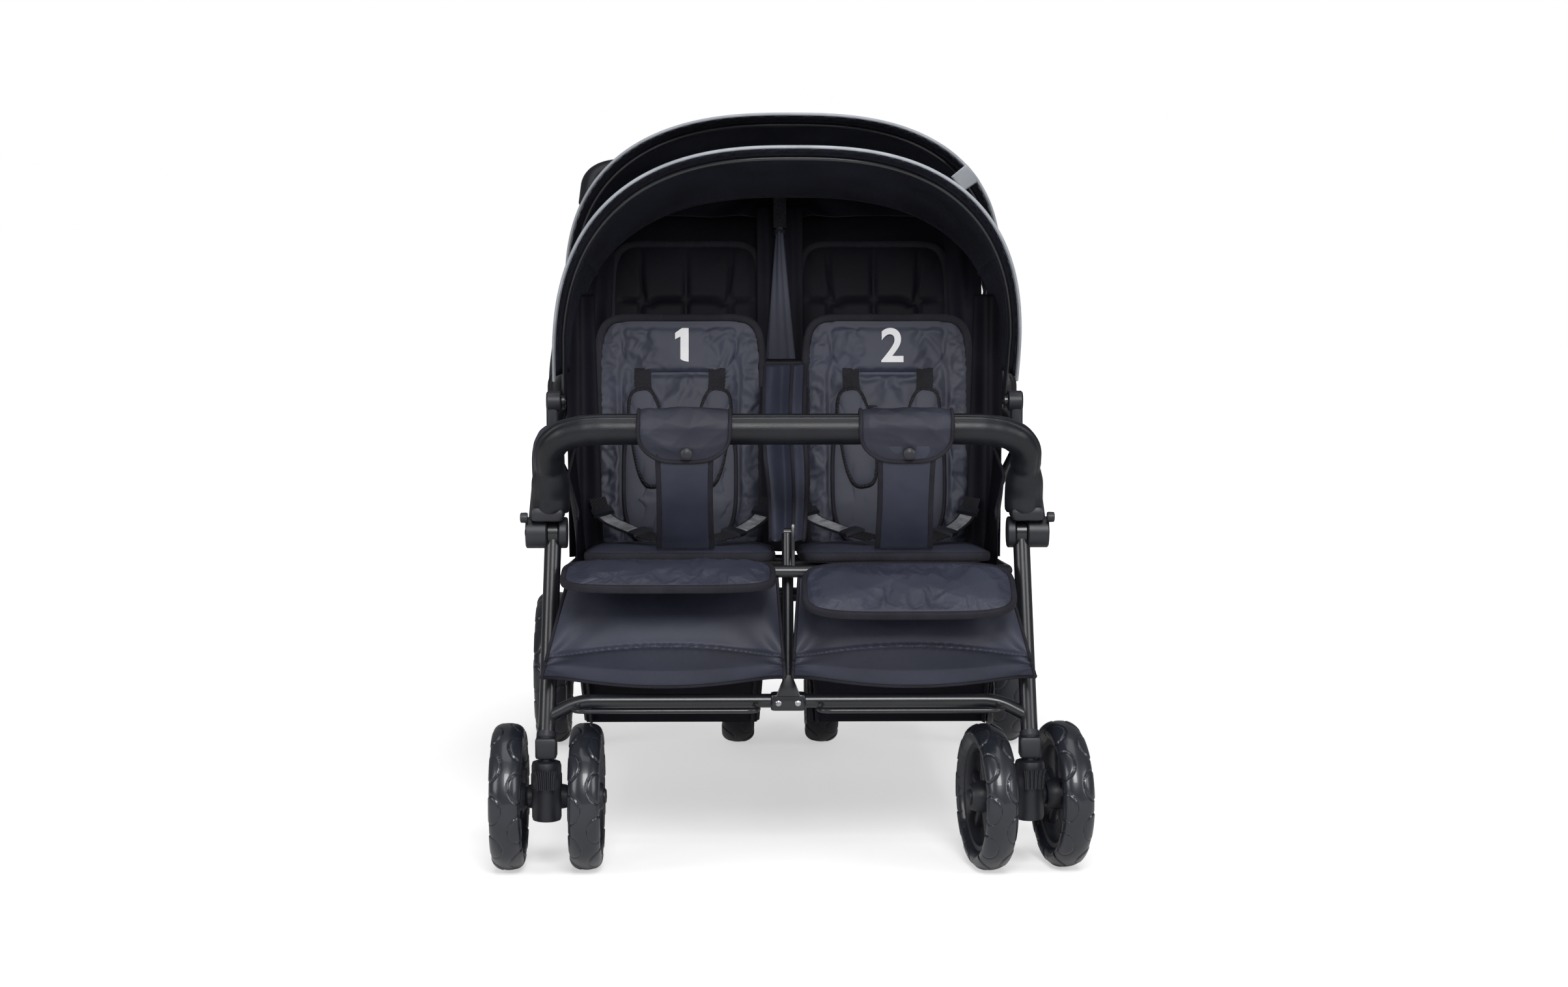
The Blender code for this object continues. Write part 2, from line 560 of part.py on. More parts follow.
# Armrests: padded sleeves round the armrest tubes, tall and narrow, with most of the padding above the tube.
ARMREST_Y = (-0.312, -0.168)
ARMREST_HEIGHT = 0.058
ARMREST_WIDTH = 0.036
ARMREST_SHIFT = (-0.004, 0.010)
ramp = (RAIL_BEND[1] - RAIL_START[1]) / (RAIL_BEND[0] - RAIL_START[0])
for label, s in (("left", -1), ("right", 1)):
    core = []
    for share in np.linspace(0, 1, 7):
        y = ARMREST_Y[0] + share * (ARMREST_Y[1] - ARMREST_Y[0])
        lower = RAIL_START[1] + (y - RAIL_START[0]) * ramp
        core.append((s * RAIL_X, y, min(lower, rail_z(y)) - 0.002 + ARMREST_SHIFT[1]))
    radii = [ARMREST_HEIGHT / 2 * (0.80 + 0.20 * math.sin(math.pi * t)) for t in np.linspace(0, 1, 7)]
    sleeve = tube(f"armrest_{label}", core, radii, "fabric", 10)
    for vertex in sleeve.data.vertices:
        off = (vertex.co.x - s * RAIL_X) * ARMREST_WIDTH / ARMREST_HEIGHT
        vertex.co.x = s * (RAIL_X + ARMREST_SHIFT[0]) + off
    combine(sleeve, tube("core", rail_path(s), around(RAIL_RADIUS, 10), None, 10), "DIFFERENCE")

# Seat frame: one loop of tube with a step between the rows, two cross tubes, and ties up to the side rails.
side_rod = [SEAT_FRONT, SEAT_MIDDLE, SEAT_STEP, SEAT_REAR]
loop = [(-LOOP_X, y, z) for y, z in reversed(side_rod)] + [(LOOP_X, y, z) for y, z in side_rod]
seat_path = rounded(loop, 0.022, 2)
seat_frame = tube("seat_frame", seat_path, LOOP_RADIUS, "frame", 8)
middle = rod("middle", (-LOOP_X, *SEAT_MIDDLE), (LOOP_X, *SEAT_MIDDLE), CROSS_RADIUS, None, 8)
combine(seat_frame, middle, "UNION")
rear_tube = rod("rear", (-LOOP_X, *SEAT_REAR), (LOOP_X, *SEAT_REAR), CROSS_RADIUS, None, 8)
combine(seat_frame, rear_tube, "UNION")
FRONT_TIE_Y = -0.122
for s in (-1, 1):
    rail_side = (s * (RAIL_X - 0.0035), FRONT_TIE_Y, rail_z(FRONT_TIE_Y) - RAIL_RADIUS - GAP)
    tie = [(s * LOOP_X, FRONT_TIE_Y, SEAT_MIDDLE[1] + 0.003), (s * 0.2845, FRONT_TIE_Y, 0.440), rail_side]
    combine(seat_frame, tube("tie", rounded(tie, 0.02, 2), 0.0068, None, 8), "UNION")
    post_side = (s * 0.3055, 0.250, 0.6480)
    tie = [(s * LOOP_X, *SEAT_REAR), (s * 0.2850, 0.283, 0.5200), (s * 0.2900, 0.268, 0.6000), post_side]
    combine(seat_frame, tube("tie", rounded(tie, 0.02, 2), 0.0066, None, 8), "UNION")
lug_way = Vector((SEAT_FRONT[0] - LEG_PIVOT[0], SEAT_FRONT[1] - LEG_PIVOT[1]))
lug_length = lug_way.length
lug_way.normalize()
lug = [(LEG_PIVOT[0] + lug_way.x * d + lug_way.y * w, LEG_PIVOT[1] + lug_way.y * d - lug_way.x * w)
       for d, w in ((-0.008, -0.006), (lug_length, -0.007), (lug_length, 0.007), (-0.008, 0.006))]
combine(seat_frame, plate("lug", lug, 0.0045, 0.0095), "UNION")
combine(seat_frame, rod("lug_pin", (-0.0045, *LEG_PIVOT), (0.006, *LEG_PIVOT), 0.004, None, 8), "UNION")


def seat_x(column):
    """Centre and width of the left (-1) or right (+1) seat."""
    return column * (SEAT_INNER_X + SEAT_OUTER_X) / 2, SEAT_OUTER_X - SEAT_INNER_X


def lying(centre_x, start, end):
    """A frame whose Y runs from start to end in the side view and whose Z is its upper side."""
    along = Vector((0, end[0] - start[0], end[1] - start[1])).normalized()
    up = Vector((1, 0, 0)).cross(along)
    turn = Matrix((Vector((1, 0, 0)), along, up)).transposed().to_4x4()
    return Matrix.Translation((centre_x, *start)) @ turn


# Seat pans: padded boards lying on the loop and its cross tubes.
pan_lift = GAP + PAN_THICK / 2 - PAN_CROWN
FRONT_PAN = ((SEAT_FRONT[0] + 0.005, SEAT_FRONT[1] + LOOP_RADIUS + pan_lift),
             (SEAT_MIDDLE[0], SEAT_MIDDLE[1] + CROSS_RADIUS + pan_lift))
REAR_PAN = ((0.000, SEAT_STEP[1] + CROSS_RADIUS + pan_lift), (0.288, SEAT_REAR[1] + CROSS_RADIUS + pan_lift))
for row, (start, end) in enumerate((FRONT_PAN, REAR_PAN)):
    for column in (-1, 1):
        number = 2 * row + (column + 3) // 2
        centre_x, width = seat_x(column)
        long = math.dist(start, end)
        where = lying(centre_x, start, end)
        name = f"seat_pan_{number}"
        cushion(name, where, width, long, PAN_THICK, PAN_CROWN, 0.012, (0, 0, 0), (), 9.0, (6, 6), 0)

# Backrests: tall pads with stitched side channels, hung behind the cross tubes that they turn on.


def back_place(hinge, lean, centre_x, along, ahead):
    """A frame on a backrest: along runs up it from its hinge and ahead forwards from its middle plane."""
    up = (hinge[0] + math.sin(lean), hinge[1] + math.cos(lean))
    return lying(centre_x, hinge, up) @ Matrix.Translation((0, along, ahead - BACK_SET))


for row, (hinge, lean, long) in enumerate((
    (SEAT_MIDDLE, FRONT_BACK_LEAN, FRONT_BACK_LENGTH),
    (SEAT_REAR, REAR_BACK_LEAN, REAR_BACK_LENGTH),
)):
    for column in (-1, 1):
        number = 2 * row + (column + 3) // 2
        width = SEAT_OUTER_X - BACK_INNER_X
        where = back_place(hinge, lean, column * (BACK_INNER_X + SEAT_OUTER_X) / 2, -BACK_BELOW, 0)
        lanes = (-0.66, 0.66)
        name = f"backrest_{number}"
        cushion(name, where, width, long, BACK_THICK, BACK_CROWN, 0.015, (0, *hinge), lanes, 7.0, (10, 8))

# Side panels: cloth walls hung between the armrest tubes and the seat loop.
for label, s in (("left", -1), ("right", 1)):
    wall = [(-0.380, SEAT_FRONT[1] - 0.0025), (SEAT_MIDDLE[0] - 0.014, SEAT_MIDDLE[1])]
    wall += [(SEAT_MIDDLE[0] - 0.009, SEAT_MIDDLE[1] + 0.011)]
    wall += [(SEAT_MIDDLE[0] + 0.012, SEAT_MIDDLE[1] + 0.011), SEAT_STEP, (0.270, 0.4252)]
    wall += [(0.225, 0.546), (-0.100, 0.524), (-0.285, 0.500), (-0.365, 0.452)]
    wall_x = LOOP_X - LOOP_RADIUS - GAP
    plate(f"side_panel_{label}", wall, s * (wall_x - CLOTH), s * wall_x, "fabric")

# Leg rests: bound flaps that hinge on the front seat tube.
for number, column, droop in ((1, -1, LEG_REST_DROOP[0]), (2, 1, LEG_REST_DROOP[1])):
    centre_x = column * 0.152
    ahead = Vector((-math.cos(droop), -math.sin(droop)))
    lift = Vector((-math.sin(droop), math.cos(droop))) * LEG_REST_LIFT
    base = Vector(SEAT_FRONT)
    tip = base + ahead * LEG_REST_REACH + lift
    root = base + ahead * LEG_REST_START + lift
    where = lying(centre_x, tuple(tip), tuple(root))
    long = (root - tip).length
    hinge = (centre_x, *SEAT_FRONT)
    name = f"leg_rest_{number}"
    cushion(name, where, 0.276, long, LEG_REST_THICK, PAN_CROWN, 0.015, hinge, (), 4.0, (8, 5), 0)

# Calf panels: cloth hung from the front seat tube, pushed forwards over a curved front seam.
CALF_TOP = SEAT_FRONT[1] - 0.0084
CALF_FOOT = 0.2600
for label, s in (("left", -1), ("right", 1)):
    u = np.linspace(-1, 1, 11)
    rows = []
    for share in np.linspace(0, 1, 7):
        half = 0.134 + 0.020 * share
        middle = s * (0.148 + 0.011 * share)
        bulge = 0.022 * math.sin(math.pi * min(share * 1.15, 1)) * (1 - u**2)
        y = -0.4360 - 0.066 * share**0.9 - bulge
        z = CALF_TOP + (CALF_FOOT - CALF_TOP) * share - 0.018 * share**3 * (1 - u**2)
        rows.append(np.stack([middle + s * half * u, y, z], -1))
    front = np.array(rows)
    along = np.gradient(front, axis=0)
    across = np.gradient(front, axis=1)
    normal = np.cross(along, across)
    normal /= np.linalg.norm(normal, axis=2, keepdims=True)
    normal *= np.where(normal[..., 1:2] > 0, 1, -1)
    grid_solid(f"calf_panel_{label}", front, front + normal * 0.003, "fabric")

# Front bumper bar: padded tube with cuffs and stubs that lift out of the front joints.
BAR_FOOT = JOINT_TOP + GAP
half_bar = [(BAR_END_X, BAR_END_Y, BAR_FOOT + 0.002), (BAR_END_X, BAR_END_Y, 0.492)]
half_bar += [(BAR_END_X + 0.003, *FRONT_BAR_AT)]
bar_route = [(-x, y, z) for x, y, z in half_bar] + list(reversed(half_bar))
bar = tube("front_bumper_bar", rounded(bar_route, 0.075, 3), BAR_RADIUS, "leather", 10)
for s in (-1, 1):
    cuff = rod("cuff", (s * BAR_END_X, BAR_END_Y, BAR_FOOT), (s * BAR_END_X, BAR_END_Y, 0.490), 0.023, None, 14)
    combine(bar, cuff, "UNION")
    stub_low = (s * BAR_END_X, BAR_END_Y, JOINT_TOP - STUB_LENGTH)
    stub_top = (s * BAR_END_X, BAR_END_Y, BAR_FOOT + 0.004)
    combine(bar, rod("stub", stub_low, stub_top, STUB_RADIUS, None, 12), "UNION")

# Rear bumper bar: the same for the rear row, standing in sockets on the armrest tubes.
rear_foot = rear_bar_foot_z + 0.004 + GAP
half_bar = [(RAIL_X, REAR_BAR_AT[0], rear_foot), (RAIL_X, *REAR_BAR_AT), (0.150, *REAR_BAR_AT)]
bar_route = [(-x, y, z) for x, y, z in half_bar] + list(reversed(half_bar))
rear_bar = tube("rear_bumper_bar", rounded(bar_route, 0.045, 3), 0.017, "leather", 10)
for s in (-1, 1):
    stub_low = (s * RAIL_X, REAR_BAR_AT[0], rear_foot - 0.014)
    stub_top = (s * RAIL_X, REAR_BAR_AT[0], rear_foot + 0.004)
    combine(rear_bar, rod("stub", stub_low, stub_top, 0.006, None, 10), "UNION")

# Crotch straps: a padded flap snapped round the bar, with a strap down to the seat.
STRAP_FOOT = (-0.398, FRONT_PAN[0][1] + PAN_THICK / 2 + 0.0008)
for number, middle in ((1, -0.132), (2, 0.150)):
    wrap_inner = around(BAR_RADIUS, 16)
    outline = []
    for a in np.radians(np.linspace(250, -70, 15)):
        outline.append((FRONT_BAR_AT[0] + 0.026 * math.cos(a), FRONT_BAR_AT[1] + 0.026 * math.sin(a)))
    low = outline[-1]
    outline.append((STRAP_FOOT[0] + 0.004, STRAP_FOOT[1]))
    outline.append((STRAP_FOOT[0] - 0.004, STRAP_FOOT[1]))
    outline.append((low[0] - 0.010, low[1] - 0.008))
    outline.append((FRONT_BAR_AT[0] - 0.018, FRONT_BAR_AT[1] - 0.040))
    name = f"crotch_strap_{number}"
    body = plate(name, outline, middle - 0.058, middle + 0.058, "fabric", (middle, *FRONT_BAR_AT))
    bore_low = (middle - 0.08, *FRONT_BAR_AT)
    bore_high = (middle + 0.08, *FRONT_BAR_AT)
    combine(body, rod("bore", bore_low, bore_high, wrap_inner, None, 16), "DIFFERENCE")
    for s in (-1, 1):
        flap_low = FRONT_BAR_AT[1] - 0.044
        side = [(-0.60, flap_low), (-0.30, flap_low), (-0.30, 0.35), (-0.60, 0.35)]
        trim = plate("trim", side, middle + s * 0.034, middle + s * 0.08)
        combine(body, trim, "DIFFERENCE")

# Harnesses: two shoulder straps from the back's slots to a buckle over the waist strap.
for number, column in ((1, -1), (2, 1)):
    centre_x = column * (BACK_INNER_X + SEAT_OUTER_X) / 2
    where = back_place(SEAT_MIDDLE, FRONT_BACK_LEAN, centre_x, 0, BACK_THICK / 2 + GAP)
    u = np.linspace(-1, 1, 7)
    rows = []
    for share in np.linspace(0, 1, 4):
        y = 0.102 + 0.165 * share
        half = 0.030 + 0.030 * share
        rows.append(np.stack([u * half, np.full_like(u, y), np.zeros_like(u)], -1))
    flat = np.array(rows)
    lower = np.array([[where @ Vector(p) for p in row] for row in flat])
    deep = flat + np.array([0, 0, 0.009])
    upper = np.array([[where @ Vector(p) for p in row] for row in deep])
    harness = grid_solid(f"harness_{number}", upper, lower, "fabric", (0, *SEAT_MIDDLE))
    between = ((-0.026, 0.167, -0.01), (0.026, 0.167, -0.01), (0.040, 0.297, -0.01), (-0.040, 0.297, -0.01))
    opening = [where @ Vector(p) for p in between]
    lift = (where.to_3x3() @ Vector((0, 0, 1))) * 0.05
    verts = [tuple(p) for p in opening] + [tuple(p + lift) for p in opening]
    faces = [(0, 1, 2, 3), (4, 5, 6, 7), (0, 1, 5, 4), (1, 2, 6, 5), (2, 3, 7, 6), (3, 0, 4, 7)]
    combine(harness, solid("between", verts, faces), "DIFFERENCE")

# Rear legs: an eye on each side pivot, two tubes, a cross tube and the long axle with its centre boss.
REAR_CROSS_AT = (0.372, 0.2447)
REAR_CAP_X = REAR_OUTER_X + REAR_HUB_HALF + GAP + 0.0042
EYE_OUTER_RADIUS = 0.025
leg_end = (REAR_AXLE[0], REAR_AXLE[1])
axle_x = REAR_CAP_X - 0.0035
axle = ((-axle_x, *REAR_AXLE), (axle_x, *REAR_AXLE))
rear = rod("rear_leg_frame", *axle, AXLE_RADIUS, "frame", 12, (0, *SIDE_PIVOT))
cross_x = REAR_LEG_X - 0.002
combine(rear, rod("cross", (-cross_x, *REAR_CROSS_AT), (cross_x, *REAR_CROSS_AT), 0.011, None, 12), "UNION")
for s in (-1, 1):
    way = (Vector(leg_end) - Vector(SIDE_PIVOT)).normalized()
    start = Vector(SIDE_PIVOT) + way * 0.016
    combine(rear, rod("leg", (s * REAR_LEG_X, *start), (s * REAR_LEG_X, *leg_end), 0.0083, None, 12), "UNION")
    eye = rod("eye", (s * EYE_IN_X[0], *SIDE_PIVOT), (s * EYE_IN_X[1], *SIDE_PIVOT), EYE_OUTER_RADIUS, None, 18)
    combine(rear, eye, "UNION")
    bore = rod("bore", (s * 0.290, *SIDE_PIVOT), (s * 0.330, *SIDE_PIVOT), around(HINGE_PIN), None, 12)
    combine(rear, bore, "DIFFERENCE")
    boss_x = REAR_OUTER_X - REAR_HUB_HALF - GAP
    boss_in = (s * (REAR_LEG_X - 0.009), *REAR_AXLE)
    combine(rear, rod("boss", boss_in, (s * boss_x, *REAR_AXLE), 0.016, None, 12), "UNION")
    cap_x = REAR_OUTER_X + REAR_HUB_HALF + GAP
    combine(rear, rod("cap", (s * cap_x, *REAR_AXLE), (s * REAR_CAP_X, *REAR_AXLE), 0.012, None, 10), "UNION")
    collar = REAR_INNER_X + REAR_HUB_HALF + GAP
    collar_end = (s * (collar + 0.006), *REAR_AXLE)
    combine(rear, rod("collar", (s * collar, *REAR_AXLE), collar_end, 0.010, None, 10), "UNION")
hub_x = REAR_INNER_X - REAR_HUB_HALF - GAP
combine(rear, rod("boss", (-hub_x, *REAR_AXLE), (hub_x, *REAR_AXLE), 0.014, None, 12), "UNION")
combine(rear, rod("drop", (0, *REAR_CROSS_AT), (0, *REAR_AXLE), 0.0085, None, 8), "UNION")

for number, x in enumerate((-REAR_OUTER_X, -REAR_INNER_X, REAR_INNER_X, REAR_OUTER_X), 1):
    radius = REAR_WHEEL_D / 2
    tread = tyre_section(radius, REAR_TYRE_WIDTH, 0.028)
    bore = around(AXLE_RADIUS, 20)
    section = [(0.018, REAR_HUB_HALF), (bore, REAR_HUB_HALF), (bore, -REAR_HUB_HALF), (0.018, -REAR_HUB_HALF)]
    section += [(0.024, -0.008), (radius - 0.036, -0.008)] + tread + [(radius - 0.036, 0.008), (0.024, 0.008)]
    ring(f"rear_wheel_{number}", section, (x, *REAR_AXLE), "tyre", 20)

# Brake pedal: a sleeve on the rear cross tube with a tread plate behind it.
cross_y, cross_z = REAR_CROSS_AT
brake_at = (0.165, *REAR_CROSS_AT)
brake = rod("brake_pedal", (0.125, *REAR_CROSS_AT), (0.205, *REAR_CROSS_AT), 0.0155, "plastic", 16, brake_at)
tread = [(cross_y, cross_z + 0.012), (cross_y, cross_z + 0.002), (cross_y + 0.070, cross_z - 0.004)]
tread += [(cross_y + 0.070, cross_z + 0.006)]
combine(brake, plate("tread", tread, 0.125, 0.205), "UNION")
bore = rod("bore", (0.10, *REAR_CROSS_AT), (0.23, *REAR_CROSS_AT), around(0.011), None, 12)
combine(brake, bore, "DIFFERENCE")

# Handle: one bent tube from eye to eye on the side pivots, with a foam grip over its top and corners.
handle_way = (Vector(HANDLE_TOP) - Vector(SIDE_PIVOT)).normalized()
handle_start = Vector(SIDE_PIVOT) + handle_way * 0.018
handle_bend = Vector(SIDE_PIVOT) + handle_way * HANDLE_STRAIGHT
half_handle = [(HANDLE_X, *handle_start), (HANDLE_X, *handle_bend), (HANDLE_TOP_X, *HANDLE_TOP)]
handle_route = [(-x, y, z) for x, y, z in half_handle] + list(reversed(half_handle))
handle_path = rounded(handle_route, 0.050, 3)
handle = tube("handle_tube", handle_path, HANDLE_RADIUS, "frame", 10, (0, *SIDE_PIVOT))
for s in (-1, 1):
    eye = rod("eye", (s * EYE_OUT_X[0], *SIDE_PIVOT), (s * EYE_OUT_X[1], *SIDE_PIVOT), EYE_OUTER_RADIUS, None, 18)
    combine(handle, eye, "UNION")
    bore = rod("bore", (s * 0.320, *SIDE_PIVOT), (s * 0.360, *SIDE_PIVOT), around(HINGE_PIN), None, 12)
    combine(handle, bore, "DIFFERENCE")
handle_end = Vector(half_handle[-1])
grip_start = handle_end + (Vector(half_handle[1]) - handle_end).normalized() * GRIP_DOWN
grip_half = [tuple(grip_start), tuple(handle_end)]
grip_route = rounded([(-x, y, z) for x, y, z in grip_half] + list(reversed(grip_half)), 0.050, 3)
grip = tube("handle_grip", grip_route, GRIP_RADIUS, "leather", 10, (0, *SIDE_PIVOT))
combine(grip, tube("core", handle_path, around(HANDLE_RADIUS, 10), None, 10), "DIFFERENCE")

# Hoods: a bow on each pair of clamps and a fabric shell from that bow to the rear edge.
FRONT_TOPS = ((-0.360, 0.929), (-0.035, 0.866))
FRONT_HALVES = (0.316, 0.296)
REAR_TOPS = ((0.000, 0.980), (0.497, 0.902))
REAR_HALVES = (0.322, 0.318)
HOOD_BASE = 0.042
RIB_SHARE = 0.06
for name, pivot, tops, halves in (
    ("front_hood", FRONT_HOOD_PIVOT, FRONT_TOPS, FRONT_HALVES),
    ("rear_hood", REAR_HOOD_PIVOT, REAR_TOPS, REAR_HALVES),
):
    hood(name, pivot, tops, halves, HOOD_BASE, (0, RIB_SHARE, 0.25, 0.44, 0.63, 0.82, 1))
    angle, reach, half = bow_at(pivot, tops, halves, RIB_SHARE)
    inset = CLOTH + RIB_RADIUS + 0.0045
    points = arch(pivot, angle, reach, half, HOOD_BASE, 2.6, 14, inset)
    foot = (HOOD_RIB_X, pivot[0] + math.cos(angle) * 0.008, pivot[1] + math.sin(angle) * 0.008)
    left_foot = (-foot[0], foot[1], foot[2])
    rib = tube(f"{name}_rib", [left_foot] + points[1:-1] + [foot], RIB_RADIUS, "frame", 6, (0, *pivot))
    for s in (-1, 1):
        eye = rod("eye", (s * 0.3010, *pivot), (s * (CLAMP_X[0] - GAP), *pivot), 0.011, None, 12)
        combine(rib, eye, "UNION")
        bore = rod("bore", (s * 0.29, *pivot), (s * 0.32, *pivot), around(0.005, 10), None, 10)
        combine(rib, bore, "DIFFERENCE")

# Baskets: sewn trays under the front seats, hung from the seat loop by their taller outer walls.
BASKET_FLOOR = 0.160
for label, s in (("left", -1), ("right", 1)):
    low, hang, inside = BASKET_FLOOR, SEAT_MIDDLE[1] - LOOP_RADIUS, 0.290
    top = ((s * 0.286, hang), (s * 0.030, inside))
    foot = ((s * 0.268, low), (s * 0.040, low))
    y_top, y_low = (-0.285, 0.255), (-0.270, 0.240)
    wall = 0.003
    outer = [(x, y, z) for (x, z) in foot for y in y_low] + [(x, y, z) for (x, z) in top for y in y_top]
    inner = []
    for x, y, z in outer:
        toward = -s * wall if abs(x) > 0.1 else s * wall
        inner.append((x + toward, y + (wall if y < 0 else -wall), z + (wall if z == low else 0)))
    verts = outer + inner
    faces = [(0, 1, 3, 2), (8, 10, 11, 9)]
    for a, b in ((0, 1), (1, 3), (3, 2), (2, 0)):
        faces += [(a, b, b + 4, a + 4), (a + 8, a + 12, b + 12, b + 8), (a + 4, b + 4, b + 12, a + 12)]
    solid(f"basket_{label}", verts, faces, "fabric")
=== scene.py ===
"""Dresses the quadruple stroller: cloth, padding, stitched bars, treaded wheels and hoods over its CAD frame."""
import json
import math

import bmesh
import bpy
import numpy as np
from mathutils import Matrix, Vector

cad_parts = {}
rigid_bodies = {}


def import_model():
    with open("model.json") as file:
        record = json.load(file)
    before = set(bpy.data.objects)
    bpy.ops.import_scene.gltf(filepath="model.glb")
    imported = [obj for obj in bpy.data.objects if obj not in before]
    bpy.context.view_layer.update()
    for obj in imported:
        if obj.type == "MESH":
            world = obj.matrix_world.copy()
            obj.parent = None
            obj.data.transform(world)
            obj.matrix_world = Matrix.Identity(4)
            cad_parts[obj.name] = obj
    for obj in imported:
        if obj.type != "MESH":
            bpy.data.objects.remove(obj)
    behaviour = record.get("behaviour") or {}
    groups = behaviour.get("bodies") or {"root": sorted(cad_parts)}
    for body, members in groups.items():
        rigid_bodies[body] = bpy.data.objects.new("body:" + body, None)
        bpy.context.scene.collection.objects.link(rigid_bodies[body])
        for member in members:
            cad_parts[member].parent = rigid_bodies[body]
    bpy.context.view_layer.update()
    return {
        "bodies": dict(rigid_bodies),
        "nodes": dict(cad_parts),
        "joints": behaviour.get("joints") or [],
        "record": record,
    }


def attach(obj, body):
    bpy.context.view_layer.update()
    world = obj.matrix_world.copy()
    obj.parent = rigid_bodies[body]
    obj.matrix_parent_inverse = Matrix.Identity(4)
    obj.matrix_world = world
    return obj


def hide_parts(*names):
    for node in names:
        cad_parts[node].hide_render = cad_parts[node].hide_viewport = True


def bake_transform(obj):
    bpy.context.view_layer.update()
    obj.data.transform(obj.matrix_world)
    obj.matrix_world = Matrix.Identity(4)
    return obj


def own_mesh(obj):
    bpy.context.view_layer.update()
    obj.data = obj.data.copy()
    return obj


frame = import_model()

# Studio: a white sweep under big soft lamps, seen from straight ahead with a long lens a little above the bar.
# The floor is matt and pale; it and the world look white to the camera, and the floor keeps the soft shadow. Its glow
# to the camera is weaker near the stroller, which paints a grey shade around it.


def add(name, data):
    """A new object, linked to the scene."""
    made = bpy.data.objects.new(name, data)
    bpy.context.scene.collection.objects.link(made)
    return made


def node(tree, kind, feeds=(), **settings):
    """A shader node with its own settings; feeds give its inputs a socket to link or a value to hold."""
    made = tree.nodes.new(f"ShaderNode{kind}")
    for name, value in settings.items():
        setattr(made, name, value)
    for key, value in dict(feeds).items():
        if isinstance(value, bpy.types.NodeSocket):
            tree.links.new(value, made.inputs[key])
        else:
            made.inputs[key].default_value = value
    return made


def white_to_camera(tree, strength):
    """A strength that counts only for what the camera sees straight: strength × camera ray."""
    ray = node(tree, "LightPath").outputs["Is Camera Ray"]
    return node(tree, "Math", {0: ray, 1: strength}, operation="MULTIPLY").outputs[0]


LENS_PX, FRAME_PX, SENSOR_MM = 4500.85, 2408, 36
CAMERA_PITCH, CAMERA_YAW = 5.93, 0.80
camera = bpy.data.cameras.new("camera")
camera.sensor_width = SENSOR_MM
camera.lens = LENS_PX / FRAME_PX * SENSOR_MM
camera.clip_end = 100
eye = add("camera", camera)
eye.location = (-0.0572, -4.1695, 0.8749)
eye.rotation_euler = (math.radians(90 - CAMERA_PITCH), 0, math.radians(-CAMERA_YAW))
bpy.context.scene.camera = eye
bpy.context.scene.view_settings.view_transform = "Standard"

WORLD_LEVEL = 0.17
world = bpy.data.worlds.new("studio")
world.use_nodes = True
bpy.context.scene.world = world
tree = world.node_tree
lift = node(tree, "Math", {0: white_to_camera(tree, 1 - WORLD_LEVEL), 1: WORLD_LEVEL})
tree.nodes["Background"].inputs["Color"].default_value = (1, 1, 1, 1)
tree.links.new(lift.outputs[0], tree.nodes["Background"].inputs["Strength"])

FLOOR_HALF, FLOOR_TONE = 12, 0.86
GLOW_FROM, GLOW_TO = (0.6, 0.50), (2.4, 1.0)
corners = [(-FLOOR_HALF, -FLOOR_HALF, 0), (FLOOR_HALF, -FLOOR_HALF, 0), (FLOOR_HALF, FLOOR_HALF, 0),
           (-FLOOR_HALF, FLOOR_HALF, 0)]
floor_mesh = bpy.data.meshes.new("floor")
floor_mesh.from_pydata(corners, [], [(0, 1, 2, 3)])
add("floor", floor_mesh)
pale = bpy.data.materials.new("pale_floor")
pale.use_nodes = True
floor_mesh.materials.append(pale)
tree = pale.node_tree
tree.nodes.clear()
matt = node(tree, "BsdfDiffuse", {"Color": (FLOOR_TONE, FLOOR_TONE, FLOOR_TONE, 1)})
away = node(tree, "VectorMath", {0: node(tree, "TexCoord").outputs["Object"]}, operation="LENGTH")
# painted shade: the camera glow falls from 1.0 at 2.4 m to 0.5 at 0.6 m from the middle, greying the floor around the
# stroller
fade = node(tree, "MapRange", {"Value": away.outputs["Value"], "From Min": GLOW_FROM[0], "From Max": GLOW_TO[0],
                               "To Min": GLOW_FROM[1], "To Max": GLOW_TO[1]})
veil = node(tree, "Math", {0: fade.outputs["Result"], 1: white_to_camera(tree, 1.0)}, operation="MULTIPLY")
glow = node(tree, "Emission", {"Strength": veil.outputs[0]})
both = node(tree, "AddShader", {0: matt.outputs[0], 1: glow.outputs[0]})
node(tree, "OutputMaterial", {"Surface": both.outputs[0]})

LAMPS = (
    ("lamp_overhead", (0.0, -0.6, 3.6), (0.0, 0.0, 0.4), 2.4, 30),
    ("lamp_left", (-3.0, -2.4, 1.7), (0.0, 0.0, 0.5), 1.6, 34),
    ("lamp_right", (3.0, -2.4, 1.7), (0.0, 0.0, 0.5), 1.6, 34),
    ("lamp_front", (0.3, -4.6, 3.3), (0.0, 0.0, 0.5), 1.8, 165),
)
for name, place, target, size, watts in LAMPS:
    data = bpy.data.lights.new(name, "AREA")
    data.size = size
    data.energy = watts
    lamp = add(name, data)
    lamp.location = place
    lamp.rotation_euler = (Vector(target) - Vector(place)).to_track_quat("-Z", "Y").to_euler()

# Finishes: black woven cloth, black tube paint, grained plastic, glossy tyre foam, stitched leatherette, webbing.
# Each is a Principled shader fed by shared node groups for weave, grain and slow variation over the surface; two
# darker copies of the black cloth paint shade on the parts under the hoods and on the crotch flaps.


